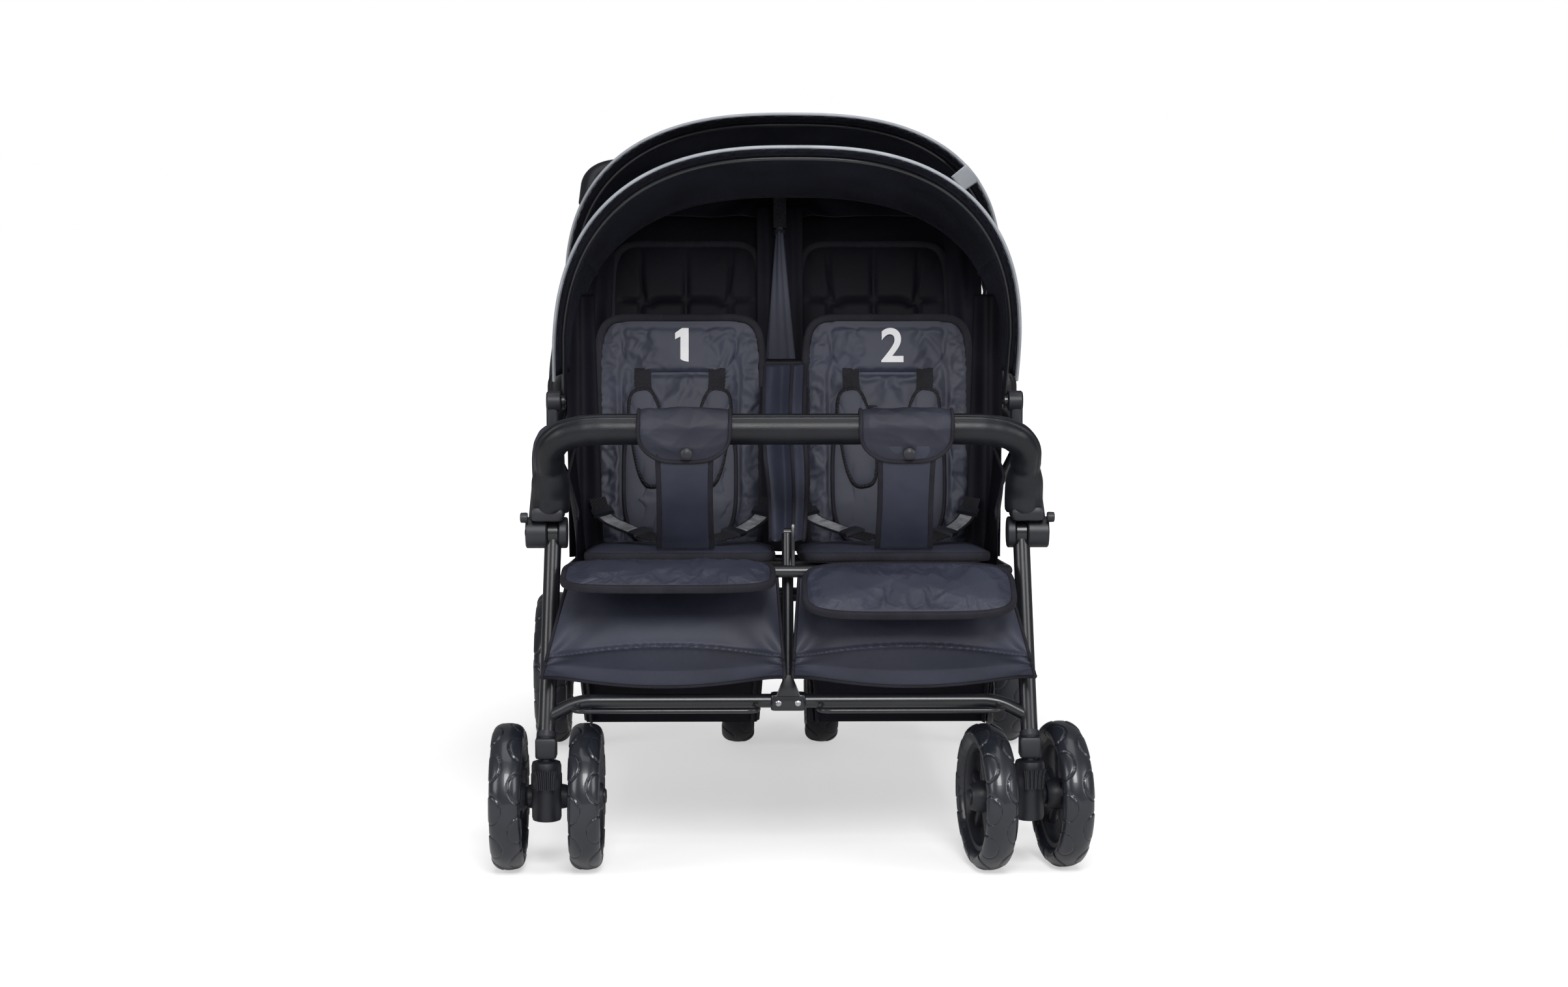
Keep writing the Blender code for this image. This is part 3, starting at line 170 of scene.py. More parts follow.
def woven(tree, vector, count):
    """Threads: sin(x + y) × sin(z + y) at a count per metre."""
    scaled = node(tree, "VectorMath", {0: vector, "Scale": count}, operation="SCALE")
    split = node(tree, "SeparateXYZ", {0: scaled.outputs[0]}).outputs
    sums = [node(tree, "Math", {0: split[axis], 1: split["Y"]}).outputs[0] for axis in "XZ"]
    waves = [node(tree, "Math", {0: total}, operation="SINE").outputs[0] for total in sums]
    return node(tree, "Math", dict(enumerate(waves)), operation="MULTIPLY").outputs[0]


def pebbled(tree, vector, count):
    """The cells of a pebbled skin at a count per metre."""
    return node(tree, "TexVoronoi", {"Vector": vector, "Scale": count}, feature="SMOOTH_F1").outputs["Distance"]


def effect(name, relief, detail):
    """A node group: Height is the relief, and Shade is slow noise for uneven dye, soft dents and handling marks."""
    made = bpy.data.node_groups.new(name, "ShaderNodeTree")
    for label, direction, kind in (("Vector", "INPUT", "Vector"), ("Count", "INPUT", "Float"),
                                   ("Patch", "INPUT", "Float"), ("Height", "OUTPUT", "Float"),
                                   ("Shade", "OUTPUT", "Float")):
        made.interface.new_socket(label, in_out=direction, socket_type=f"NodeSocket{kind}")
    start, end = made.nodes.new("NodeGroupInput").outputs, made.nodes.new("NodeGroupOutput").inputs
    noise = node(made, "TexNoise", {"Vector": start["Vector"], "Scale": start["Patch"], "Detail": detail})
    made.links.new(relief(made, start["Vector"], start["Count"]), end["Height"])
    made.links.new(noise.outputs["Fac"], end["Shade"])
    return made


SHADE_STOPS = (0.35, 0.70)


def finish(name, group, count, patch, dark, light, rough, bump, **sockets):
    """A Principled material: the group's Shade blends dark to light and the roughness pair; its Height is bumped."""
    made = bpy.data.materials.new(name)
    made.use_nodes = True
    tree = made.node_tree
    shader = tree.nodes["Principled BSDF"].inputs
    felt = node(tree, "Group", node_tree=group)
    tree.links.new(node(tree, "TexCoord").outputs["Object"], felt.inputs["Vector"])
    felt.inputs["Count"].default_value = count
    felt.inputs["Patch"].default_value = patch
    ramp = node(tree, "ValToRGB", {"Fac": felt.outputs["Shade"]})
    for stop, position, colour in zip(ramp.color_ramp.elements, SHADE_STOPS, (dark, light)):
        stop.position = position
        stop.color = (*colour, 1)
    spread = node(tree, "MapRange", {"Value": felt.outputs["Shade"], "To Min": rough[0], "To Max": rough[1]})
    relief = node(tree, "Bump", {"Height": felt.outputs["Height"], "Strength": bump[0], "Distance": bump[1]})
    tree.links.new(ramp.outputs["Color"], shader["Base Color"])
    tree.links.new(spread.outputs["Result"], shader["Roughness"])
    tree.links.new(relief.outputs["Normal"], shader["Normal"])
    for socket, value in sockets.items():
        shader[socket.replace("_", " ")].default_value = value
    return made


weave = effect("weave", woven, 4)
grain = effect("grain", pebbled, 3)
cloth = finish("black_cloth", weave, 2600, 9, (0.019, 0.0215, 0.038), (0.031, 0.035, 0.060), (0.46, 0.64),
               (0.25, 0.0003))
# Painted shade: a much darker copy of the black cloth for the rear backs, side cloths, curtains, flaps and baskets
# that sit in shade under the hoods and seats
painted_shade_cloth = finish("painted_shade_cloth", weave, 2600, 9, (0.0045, 0.0045, 0.0075), (0.0090, 0.0090, 0.0150), (0.50, 0.70),
                     (0.25, 0.0003), Specular_IOR_Level=0.12)
# Painted shade: a darker copy of the black cloth for the steep crotch flaps, which face away from the lamps
painted_shade_lap_cloth = finish("painted_shade_lap_cloth", weave, 2600, 9, (0.0125, 0.0140, 0.0255), (0.0205, 0.0230, 0.0400), (0.45, 0.64),
                   (0.25, 0.0003), Specular_IOR_Level=0.4)
hood_cloth = finish("hood_cloth", weave, 2600, 9, (0.0125, 0.0133, 0.021), (0.0230, 0.0245, 0.0380), (0.40, 0.58),
                    (0.25, 0.0003), Specular_IOR_Level=0.35)
binding = finish("bound_edge", weave, 1800, 30, (0.010, 0.010, 0.015), (0.018, 0.018, 0.026), (0.65, 0.80),
                 (0.5, 0.0004), Specular_IOR_Level=0.25)
pale_binding = finish("pale_binding", weave, 1800, 25, (0.30, 0.32, 0.35), (0.40, 0.42, 0.46), (0.35, 0.50),
                      (0.3, 0.0003))
webbing = finish("webbing", weave, 1300, 30, (0.008, 0.008, 0.011), (0.017, 0.017, 0.023), (0.55, 0.75),
                 (0.8, 0.0006), Specular_IOR_Level=0.30)
tube_paint = finish("tube_paint", grain, 2400, 12, (0.007, 0.0075, 0.0105), (0.011, 0.0120, 0.0160), (0.28, 0.38),
                    (0.05, 0.0002), Coat_Weight=0.25)
plastic = finish("grained_plastic", grain, 1400, 18, (0.011, 0.012, 0.017), (0.019, 0.020, 0.027), (0.36, 0.52),
                 (0.25, 0.0003))
tyre_foam = finish("tyre_foam", grain, 1800, 14, (0.012, 0.0135, 0.020), (0.020, 0.0225, 0.031), (0.24, 0.36),
                   (0.08, 0.0002), Coat_Weight=0.3)
leatherette = finish("leatherette", grain, 900, 16, (0.0060, 0.0066, 0.0095), (0.0105, 0.0115, 0.0160), (0.32, 0.48),
                     (0.30, 0.0004), Specular_IOR_Level=0.36)
pale_tape = finish("pale_tape", weave, 1600, 60, (0.16, 0.17, 0.19), (0.42, 0.43, 0.46), (0.50, 0.70), (0.5, 0.0004))
print_white = finish("printed_white", weave, 2600, 20, (0.80, 0.80, 0.82), (0.88, 0.88, 0.90), (0.60, 0.75),
                     (0.4, 0.0003))
steel = finish("bright_steel", grain, 900, 40, (0.35, 0.35, 0.37), (0.50, 0.50, 0.52), (0.25, 0.38), (0.1, 0.0002),
               Metallic=1.0)

# Wheels: one-piece black foam tyres with raised half-moon treads on both shoulders, on spoked plastic rims.
# Each turns on the axle where the CAD has it; the right caster pair is swivelled with its housing.
SIDES = (("left", -1), ("right", 1))


def field(rows, cols, low=0.0, high=1.0):
    """Two grids over a cloth: 0 to 1 down its rows, and low to high along its columns."""
    return np.meshgrid(np.linspace(0, 1, rows), np.linspace(low, high, cols), indexing="ij")


def weave_faces(rows, cols, round_rows=False, round_cols=False):
    """Quads of a grid of points stored row by row, joined round where a direction closes on itself."""
    i, j = np.meshgrid(np.arange(rows if round_rows else rows - 1), np.arange(cols if round_cols else cols - 1),
                       indexing="ij")
    below, after = (i + 1) % rows, (j + 1) % cols
    corners = [i * cols + j, i * cols + after, below * cols + after, below * cols + j]
    return np.stack(corners, -1).reshape(-1, 4).tolist()


def clamp(value):
    """A value held between 0 and 1."""
    return np.clip(value, 0, 1)


def near(value, centre, width):
    """A bump of height 1 at a centre: exp(-((value - centre) / width)²)."""
    return np.exp(-(((value - centre) / width) ** 2))


def mix(start, end, share):
    """From start to end by a share: start × (1 - share) + end × share."""
    return start * (1 - share) + end * share


SHARP_DEGREES = 38


def piece(name, parts, finish, body, stands_for=(), smooth=True):
    """One object out of (points, faces) parts, faces turned outwards, riding on a CAD body if one is named."""
    points, faces, offset = [], [], 0
    for part_points, part_faces in parts:
        points.append(np.asarray(part_points, float).reshape(-1, 3))
        faces += [[index + offset for index in face] for face in part_faces]
        offset += len(points[-1])
    mesh = bpy.data.meshes.new(name)
    mesh.from_pydata(np.concatenate(points).tolist(), [], faces)
    bm = bmesh.new()
    bm.from_mesh(mesh)
    bmesh.ops.remove_doubles(bm, verts=bm.verts, dist=1e-6)
    bmesh.ops.recalc_face_normals(bm, faces=bm.faces)
    bm.to_mesh(mesh)
    bm.free()
    if smooth:
        mesh.shade_smooth()
        mesh.set_sharp_from_angle(angle=math.radians(SHARP_DEGREES))
    mesh.materials.append(finish)
    made = add(name, mesh)
    if body:
        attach(made, body)
    if stands_for:
        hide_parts(*stands_for)
    return made


def swing(points, turn, about):
    """Points turned by an angle about the vertical line through (x, y)."""
    if not turn:
        return points
    points = np.array(points, float)
    x, y = points[..., 0] - about[0], points[..., 1] - about[1]
    points[..., 0] = about[0] + x * math.cos(turn) - y * math.sin(turn)
    points[..., 1] = about[1] + x * math.sin(turn) + y * math.cos(turn)
    return points


def lathe(profile, centre, steps=96, turn=0.0, about=None):
    """A closed profile of (radius, x) turned about the X axis through a centre, then swung about a vertical line."""
    profile = np.asarray(profile, float)
    angle = np.linspace(0, 2 * np.pi, steps, endpoint=False)[:, None]
    points = np.stack(np.broadcast_arrays(centre[0] + profile[:, 1], centre[1] + profile[:, 0] * np.cos(angle),
                                          centre[2] + profile[:, 0] * np.sin(angle)), -1)
    return swing(points.reshape(-1, 3), turn, about), weave_faces(steps, len(profile), True, True)


def rounded(angle, power):
    """The cosine and sine of an angle drawn out to a squarer round: sign(c) × |c|^power and the same for s."""
    return tuple(np.sign(wave) * np.abs(wave) ** power for wave in (np.cos(angle), np.sin(angle)))


MOON_LONG, MOON_WIDE, MOON_AT, MOON_STEPS = 0.34, 52, 26, 42
MOON_RISE, MOAT_DEPTH, TREAD_SINK = 0.0007, 0.0011, 0.0006


def tread(radius, width, depth, moons, centre, turn=0.0, about=None):
    """A rounded band with moons where d = sqrt(((along - 0.5) / 0.34)^2 + ((section - 26 deg) / 52 deg)^2) < 1.

    Each moon stands proud inside a groove, and the moons of one shoulder are half a step from the other's.
    """
    outer, inner = np.linspace(-8, 188, 54, endpoint=False), np.linspace(188, 352, 8, endpoint=False)
    around, section = np.meshgrid(np.linspace(0, 2 * np.pi, moons * MOON_STEPS, endpoint=False),
                                  np.radians(np.concatenate([outer, inner])), indexing="ij")
    across, up = rounded(section, 2 / 2.15)
    relief = np.zeros_like(around)
    for side in (1, -1):
        along = (around * moons / (2 * np.pi) + (0.0 if side > 0 else 0.5)) % 1
        tilt = np.degrees(np.arctan2(np.sin(section), side * np.cos(section)))
        away = np.sqrt(((along - 0.5) / MOON_LONG) ** 2 + ((tilt - MOON_AT) / MOON_WIDE) ** 2)
        relief += MOON_RISE * clamp((1 - away) / 0.10) - MOAT_DEPTH * near(away, 1.03, 0.045)
    r = radius - depth / 2 - TREAD_SINK + (depth / 2 + relief) * up
    points = np.stack([centre[0] + (width / 2 + relief) * across, centre[1] + r * np.cos(around),
                       centre[2] + r * np.sin(around)], -1)
    return swing(points.reshape(-1, 3), turn, about), weave_faces(*around.shape, True, True)


def spoked_rim(outer, half_width, hub, hub_half, spokes, centre, turn=0.0, about=None):
    """A flanged ring and a hub, both turned, joined by flat tapered spokes with rounded edges."""
    ring = [(outer - 0.007, -half_width), (outer, -half_width - 0.001), (outer, half_width + 0.001),
            (outer - 0.007, half_width), (outer - 0.009, half_width * 0.7), (outer - 0.009, -half_width * 0.7)]
    boss = [(0.0068, -hub_half), (hub * 0.72, -hub_half), (hub * 0.80, -hub_half * 0.93), (hub, -0.008),
            (hub, 0.008), (hub * 0.80, hub_half * 0.93), (hub * 0.72, hub_half), (0.0068, hub_half)]
    parts = [lathe(ring, centre, 72, turn, about), lathe(boss, centre, 48, turn, about)]
    long, edge = np.meshgrid(np.linspace(0, 1, 7), np.linspace(0, 2 * np.pi, 12, endpoint=False), indexing="ij")
    reach = hub - 0.003 + (outer - 0.009 - hub + 0.006) * long
    half, thick = rounded(edge, 0.6)
    half = (0.0075 - 0.0025 * np.sin(np.pi * long)) * half
    thick = (0.0065 - 0.0015 * long) * thick
    for number in range(spokes):
        angle = 2 * np.pi * (number + 0.25) / spokes
        y = reach * np.cos(angle) - half * np.sin(angle)
        z = reach * np.sin(angle) + half * np.cos(angle)
        points = np.stack([centre[0] + thick, centre[1] + y, centre[2] + z], -1).reshape(-1, 3)
        ends = [list(range(12)), list(range(72, 84))]
        parts.append((swing(points, turn, about), weave_faces(7, 12, False, True) + ends))
    return parts


CASTER_TURN = {-1: 0.0, 1: math.radians(10)}
CASTER_X, SWIVEL_Y = 0.310, -0.465
TAB_Z, TAB_TALL, TAB_FRONT, TAB_BACK = 0.1130, 0.0250, 0.0265, 0.0208
FRONT_AXLE, REAR_AXLE = (-0.440, 0.095), (0.440, 0.120)
for number, x in enumerate((-0.360, -0.260, 0.260, 0.360), 1):
    side = int(math.copysign(1, x))
    where = ((x, *FRONT_AXLE), CASTER_TURN[side], (side * CASTER_X, SWIVEL_Y))
    piece(f"tread_{number}", [tread(0.095, 0.0400, 0.028, 10, *where)], tyre_foam, f"front_wheel_{number}",
          [f"front_tyre_{number}"])
    piece(f"wheel_rim_{number}", spoked_rim(0.0705, 0.0120, 0.021, 0.022, 6, *where), plastic,
          f"front_wheel_{number}", [f"front_rim_{number}"])
for number, x in enumerate((-0.358, -0.066, 0.066, 0.358), 1):
    centre, body = (x, *REAR_AXLE), f"rear_wheel_{number}_body"
    piece(f"rear_tread_{number}", [tread(0.120, 0.0500, 0.032, 12, centre)], tyre_foam, body,
          [f"rear_wheel_{number}"])
    piece(f"rear_rim_{number}", spoked_rim(0.0915, 0.0160, 0.026, 0.028, 7, centre), plastic, body)

# Casters: a moulded housing with a collar, a cross boss for the axle and a ribbed lock tab on its front.
# The housing turns on a pin in the square sleeve at the foot of each leg.
HOUSING = ((0.0150, 0.0690), (0.0178, 0.0700), (0.0190, 0.0740), (0.0190, 0.1120), (0.0200, 0.1140), (0.0200, 0.1290),
           (0.0192, 0.1310), (0.0192, 0.1400), (0.0178, 0.1450), (0.0140, 0.1465), (0.0095, 0.1470), (0.0095, 0.1498))
AXLE_BOSS = ((0.0001, -0.0276), (0.0120, -0.0276), (0.0150, -0.0240), (0.0165, -0.0160), (0.0165, 0.0160),
             (0.0150, 0.0240), (0.0120, 0.0276), (0.0001, 0.0276))
AXLE_ROD = ((0.0055, -0.0724), (0.0055, 0.0724), (0.0001, 0.0724), (0.0001, -0.0724))
AXLE_CAP = ((0.0001, 0.0), (0.0100, 0.0), (0.0100, 0.0018), (0.0080, 0.0034), (0.0001, 0.0040))


def upright(profile, x, steps=48):
    """A profile of (radius, z) turned about the swivel line at x."""
    profile = np.asarray(profile, float)
    angle = np.linspace(0, 2 * np.pi, steps, endpoint=False)[:, None]
    points = np.stack(np.broadcast_arrays(x + profile[:, 0] * np.cos(angle),
                                          SWIVEL_Y + profile[:, 0] * np.sin(angle), profile[:, 1]), -1)
    count = len(profile)
    ends = [list(range(0, steps * count, count)), list(range(count - 1, steps * count, count))]
    return points.reshape(-1, 3), weave_faces(steps, count, True) + ends


def slab(front, rear):
    """A closed solid between two grids of points, with a wall along their edges."""
    rows, cols = front.shape[:2]
    count = rows * cols
    ring = (list(range(cols)) + [i * cols + cols - 1 for i in range(1, rows)]
            + [(rows - 1) * cols + j for j in range(cols - 2, -1, -1)] + [i * cols for i in range(rows - 2, 0, -1)])
    quads = weave_faces(rows, cols)
    faces = quads + [[index + count for index in quad] for quad in quads]
    faces += [[a, b, b + count, a + count] for a, b in zip(ring, ring[1:] + ring[:1])]
    return np.concatenate([front.reshape(-1, 3), rear.reshape(-1, 3)]), faces


for label, side in SIDES:
    x, turn = side * CASTER_X, CASTER_TURN[side]
    about = (x, SWIVEL_Y)
    parts = [upright(HOUSING, x)]
    caps = [[(r, end * (0.0722 + w)) for r, w in AXLE_CAP] for end in (-1, 1)]
    for profile, steps in ((AXLE_BOSS, 40), (AXLE_ROD, 24), (caps[0], 32), (caps[1], 32)):
        parts.append(lathe(profile, (x, *FRONT_AXLE), steps, turn, about))
    piece(f"caster_housing_{label}", parts, plastic, f"caster_{label}_body", [f"caster_{label}"])

    # the lock tab: a flared plate with five ribs
    u, v = np.meshgrid(np.linspace(-1, 1, 41), np.linspace(0, 1, 14), indexing="ij")
    half = 0.0125 + 0.0030 * v**3
    ribs = 0.0011 * np.clip(np.cos(u * np.pi * 5) * 3, -1, 1)
    out = SWIVEL_Y - TAB_FRONT - ribs - 0.0035 * v**4 + 0.0010 * u**2
    front = np.stack([x + half * u, out, TAB_Z + TAB_TALL * v], -1)
    back = front.copy()
    back[..., 1] = SWIVEL_Y - TAB_BACK
    points, faces = slab(front, back)
    piece(f"lock_tab_{label}", [(swing(points, turn, about), faces)], plastic, f"swivel_lock_{label}_body",
          [f"swivel_lock_{label}"])

# Front legs: round painted tubes from the side joints down to square sleeves that take the swivel pins.
# A short ferrule closes each sleeve round the tube.


def unit(vector):
    """A vector of length 1."""
    return vector / np.linalg.norm(vector)


def mirrored(half):
    """A route from the left foot to the right one, from the points of its right half, foot first."""
    return [(-x, y, z) for x, y, z in half] + half[::-1]


def bend(points, radius, steps=8):
    """A path whose corners become quadratic curves that start one radius before and end one after each corner."""
    points = np.asarray(points, float)
    path = [points[0]]
    t = np.linspace(0, 1, steps + 1)[:, None]
    for before, corner, after in zip(points, points[1:], points[2:]):
        gaps = np.linalg.norm(before - corner), np.linalg.norm(after - corner)
        start = corner + (before - corner) * min(radius / gaps[0], 0.48)
        end = corner + (after - corner) * min(radius / gaps[1], 0.48)
        path += list(start * (1 - t) ** 2 + corner * 2 * t * (1 - t) + end * t * t)
    return np.array(path + [points[-1]])


def sweep(path, size, across=(1, 0, 0), sides=24, power=2.0, closed=False, offset=0.0):
    """A superellipse of half sizes (a, b) carried along a path; a lies along tangent × across, b along across."""
    path = np.asarray(path, float)
    size = np.broadcast_to(np.asarray(size, float), (len(path), 2)) if np.ndim(size) != 2 else np.asarray(size)
    if closed:
        tangent = np.roll(path, -1, 0) - np.roll(path, 1, 0)
    else:
        tangent = np.gradient(path, axis=0)
    tangent /= np.linalg.norm(tangent, axis=1, keepdims=True)
    first = np.cross(tangent, np.broadcast_to(np.asarray(across, float), path.shape))
    first /= np.linalg.norm(first, axis=1, keepdims=True)
    second = np.cross(tangent, first)
    c, s = rounded(np.linspace(0, 2 * np.pi, sides, endpoint=False), 2 / power)
    ring = (path[:, None] + first[:, None] * (size[:, None, :1] * c[None, :, None] + offset)
            + second[:, None] * size[:, None, 1:] * s[None, :, None])
    faces = weave_faces(len(path), sides, closed, True)
    if not closed:
        faces += [list(range(sides)), list(range((len(path) - 1) * sides, len(path) * sides))]
    return ring.reshape(-1, 3), faces


def tube(path, radius, across=(1, 0, 0), sides=24):
    """A round sweep, with one radius or one for each point of its path."""
    return sweep(path, np.stack([np.broadcast_to(radius, len(path))] * 2, -1), across, sides)


def disc(side, at, spans, radii, sides=36):
    """A turned part on the X line through (y, z): a radius for each distance from the middle, or one for all."""
    return tube([(side * x, *at) for x in spans], radii, (0, 1, 0), sides)


def block(low, high, bevel=0.002):
    """A box with rounded edges: a superellipsoid-like sweep of a rounded rectangle between two heights."""
    low, high = np.asarray(low, float), np.asarray(high, float)
    middle, half = (low + high) / 2, (high - low) / 2
    path = [(middle[0], middle[1], z) for z in (low[2], low[2] + bevel * 0.3, low[2] + bevel, high[2] - bevel,
                                                high[2] - bevel * 0.3, high[2])]
    shrink = np.array([bevel, bevel * 0.3, 0, 0, bevel * 0.3, bevel])
    return sweep(path, np.stack([half[1] - shrink, half[0] - shrink], -1), sides=32, power=9.0)


LEG_PIVOT = (-0.392, 0.432)
LEG_TOP, LEG_FOOT = np.array((0.3035, *LEG_PIVOT)), np.array((CASTER_X, SWIVEL_Y, 0.1683))
SLEEVE_HALF = 0.0137
for label, side in SIDES:
    mirror = np.array((side, 1, 1))
    top, foot = LEG_TOP * mirror, LEG_FOOT * mirror
    way = unit(foot - top)
    leg = tube([top + way * 0.004, top + way * 0.05, foot - way * 0.03, foot], 0.011)
    sleeve = block((foot[0] - SLEEVE_HALF, SWIVEL_Y - SLEEVE_HALF, 0.1503),
                   (foot[0] + SLEEVE_HALF, SWIVEL_Y + SLEEVE_HALF, 0.1772), 0.003)
    collar = tube([foot + (0, 0, 0.006), foot + (0, 0, 0.0075), foot - way * 0.014, foot - way * 0.0155],
                  (0.0105, 0.0128, 0.0128, 0.0112))
    eye = tube([top + (x, 0, 0) for x in (-0.0070, -0.0062, 0.0062, 0.0070)], (0.0140, 0.0152, 0.0152, 0.0140),
               (0, 1, 0), 32)
    piece(f"leg_tube_{label}", [leg, eye], tube_paint, "front_legs", [f"front_leg_{label}"])
    piece(f"leg_sleeve_{label}", [sleeve, collar], plastic, "front_legs")

# Crossbar: a painted tube between the legs, bowed slightly forwards, with two thin wire loops as footrests.
# The centre post comes down to it from between the seats and holds it in a riveted bracket.
CROSS_Y, CROSS_Z = -0.450, 0.221
WIRE_Y, WIRE_Z = -0.500, 0.2165
parts = [tube(bend(mirrored([(0.3055, -0.4554, 0.203), (0.270, CROSS_Y, CROSS_Z)]), 0.02), 0.009, (0, 1, 0))]
for side in (-1, 1):
    wire = [(side * x, y, WIRE_Z) for x, y in ((0.268, CROSS_Y), (0.276, WIRE_Y), (0.036, WIRE_Y), (0.044, CROSS_Y))]
    parts.append(tube(bend(wire, 0.02), 0.0033, (0, 0, 1), 12))
piece("crossbar_tube", parts, tube_paint, "front_legs", ["crossbar"])
post_top, post_foot = np.array((0, *LEG_PIVOT)), np.array((0, CROSS_Y, CROSS_Z))
way = unit(post_foot - post_top)
post = tube([post_top + way * 0.002, post_foot - way * 0.012], 0.0075)
plate = block((-0.0225, CROSS_Y - 0.0145, CROSS_Z - 0.0112), (0.0225, CROSS_Y + 0.0140, CROSS_Z + 0.0100), 0.0025)
upstand = sweep([(0, CROSS_Y - 0.0142, CROSS_Z + 0.008), (0, CROSS_Y - 0.0120, CROSS_Z + 0.020),
                 (0, CROSS_Y - 0.0080, CROSS_Z + 0.034)], [(0.0022, 0.0160), (0.0022, 0.0110), (0.0020, 0.0050)],
                (1, 0, 0), 20, 4.0)
rivets = [tube([(x, CROSS_Y - out, CROSS_Z - 0.001) for out in (0.0140, 0.0156, 0.0168)], (0.0040, 0.0038, 0.0022))
          for x in (-0.0125, 0.0125)]
piece("post_and_bracket", [post, plate, upstand], tube_paint, "front_legs", ["centre_post"])
piece("bracket_rivets", rivets, steel, "front_legs")

# Side joints: glossy moulded knuckles on the leg pivots, with a side clip, a screw and the socket of the bar.
# Each holds the front end of the armrest tube.
SOCKET_X, SOCKET_HALF = 0.3100, 0.0215
for label, side in SIDES:
    knuckle = [disc(side, LEG_PIVOT, (inner, inner + 0.0015, outer - 0.0015, outer),
                    (0.0185, 0.0203, 0.0203, 0.0185), 40) for inner, outer in ((0.2848, 0.2958), (0.3112, 0.3388))]
    knuckle.append(block((side * SOCKET_X - SOCKET_HALF, -0.4200, 0.4485),
                         (side * SOCKET_X + SOCKET_HALF, -0.3760, 0.4682), 0.006))
    piece(f"joint_{label}", knuckle, plastic, "frame", [f"front_joint_{label}"])
    screw = disc(side, LEG_PIVOT, (0.3376, 0.3396, 0.3406), (0.0062, 0.0060, 0.0030), 24)
    piece(f"joint_screw_{label}", [screw], steel, "frame")
    clip = disc(side, (-0.4105, 0.4535), (0.3352, 0.3375, 0.3440, 0.3449), (0.0062, 0.0069, 0.0066, 0.0048), 28)
    piece(f"release_button_{label}", [clip], plastic, f"bar_button_{label}_body", [f"bar_button_{label}"])

# Armrest tubes: from the joints back to flat discs that the rear legs and the handle turn on.
# They carry the hood clamps, the post of the rear hood and the sockets of the rear bar.
SIDE_PIVOT = (0.200, 0.560)
RAIL_X, RAIL_TURN, RAIL_END = 0.3255, (-0.270, 0.515), (0.174, 0.5555)
CLAMPS = ((-0.150, 0.585), (0.265, 0.675))
REAR_BAR_Y, CUP_HALF = 0.100, 0.0092


def rail_height(y):
    """The height of the armrest tube's straight run at y."""
    slope = (RAIL_END[1] - RAIL_TURN[1]) / (RAIL_END[0] - RAIL_TURN[0])
    return RAIL_TURN[1] + slope * (y - RAIL_TURN[0])


for label, side in SIDES:
    x = side * RAIL_X
    parts = [tube(bend([(x, -0.385, 0.4443), (x, *RAIL_TURN), (x, *RAIL_END)], 0.06), 0.011)]
    for inner, outer, radius in ((0.3150, 0.3275, 0.0300), (0.3003, 0.3450, 0.0088)):
        parts.append(disc(side, SIDE_PIVOT, (inner, inner + 0.001, outer - 0.001, outer), radius, 48))
    parts.append(tube([(side * 0.3200, SIDE_PIVOT[0] + 0.010, SIDE_PIVOT[1] + 0.018), (side * 0.3205, *CLAMPS[1])],
                      0.0062))
    clamps = []
    for at in CLAMPS:
        clamps.append(disc(side, at, (0.3070, 0.3085, 0.3250, 0.3272), (0.0125, 0.0142, 0.0142, 0.0120)))
        clamps.append(disc(side, at, (0.3007, 0.3090), 0.0048, 20))
    stem = [(side * 0.3190, CLAMPS[0][0], z) for z in (rail_height(CLAMPS[0][0]), CLAMPS[0][1])]
    clamps.append(sweep(stem, (0.0095, 0.0085), power=3.0))
    low = rail_height(REAR_BAR_Y)
    clamps.append(block((x - CUP_HALF, 0.080, low - 0.004), (x + CUP_HALF, 0.120, low + 0.0150), 0.002))
    piece(f"armrest_tube_{label}", parts, tube_paint, "frame", [f"side_rail_{label}"])
    piece(f"hood_clamps_{label}", clamps, plastic, "frame")

# Rear legs: two painted tubes from the side discs down to one long axle, tied by a cross tube and a middle drop.
# The brake pedal is a moulded sleeve with a ribbed tread plate on the cross tube.
CROSS = (0.372, 0.2447)
EYE_RADII = (0.0235, 0.0250, 0.0250, 0.0235)
parts = []
for side in (-1, 1):
    x = side * 0.3063
    parts.append(tube([(x, SIDE_PIVOT[0] + 0.008, SIDE_PIVOT[1] - 0.014),
                       (x, REAR_AXLE[0] - 0.002, REAR_AXLE[1] + 0.004)], 0.0083))
    parts.append(disc(side, SIDE_PIVOT, (0.3003, 0.3015, 0.3135, 0.3147), EYE_RADII, 48))
    for inner, outer, radius in ((0.2970, 0.3297, 0.0160), (0.3863, 0.3905, 0.0118), (0.0943, 0.1003, 0.0100)):
        parts.append(disc(side, REAR_AXLE, (inner, outer), radius))
for at, half, radius, sides in ((REAR_AXLE, 0.3880, 0.006, 24), (REAR_AXLE, 0.0377, 0.0140, 36),
                                (CROSS, 0.304, 0.011, 32)):
    parts.append(disc(1, at, (-half, half), radius, sides))
parts.append(tube([(0, *CROSS), (0, *REAR_AXLE)], 0.0085))
piece("rear_leg_tubes", parts, tube_paint, "rear_legs", ["rear_leg_frame"])
PLATE_DROP = 0.09
sleeve = disc(1, CROSS, (0.1250, 0.1265, 0.2035, 0.2050), (0.0145, 0.0155, 0.0155, 0.0145))
tread_plate = sweep([(0.165, CROSS[0] + out, CROSS[1] + 0.0075 - PLATE_DROP * out)
                     for out in (0.002, 0.004, 0.066, 0.070)],
                    [(0.0045, 0.038), (0.0050, 0.0398), (0.0050, 0.0398), (0.0030, 0.036)], (1, 0, 0), 32, 8.0)
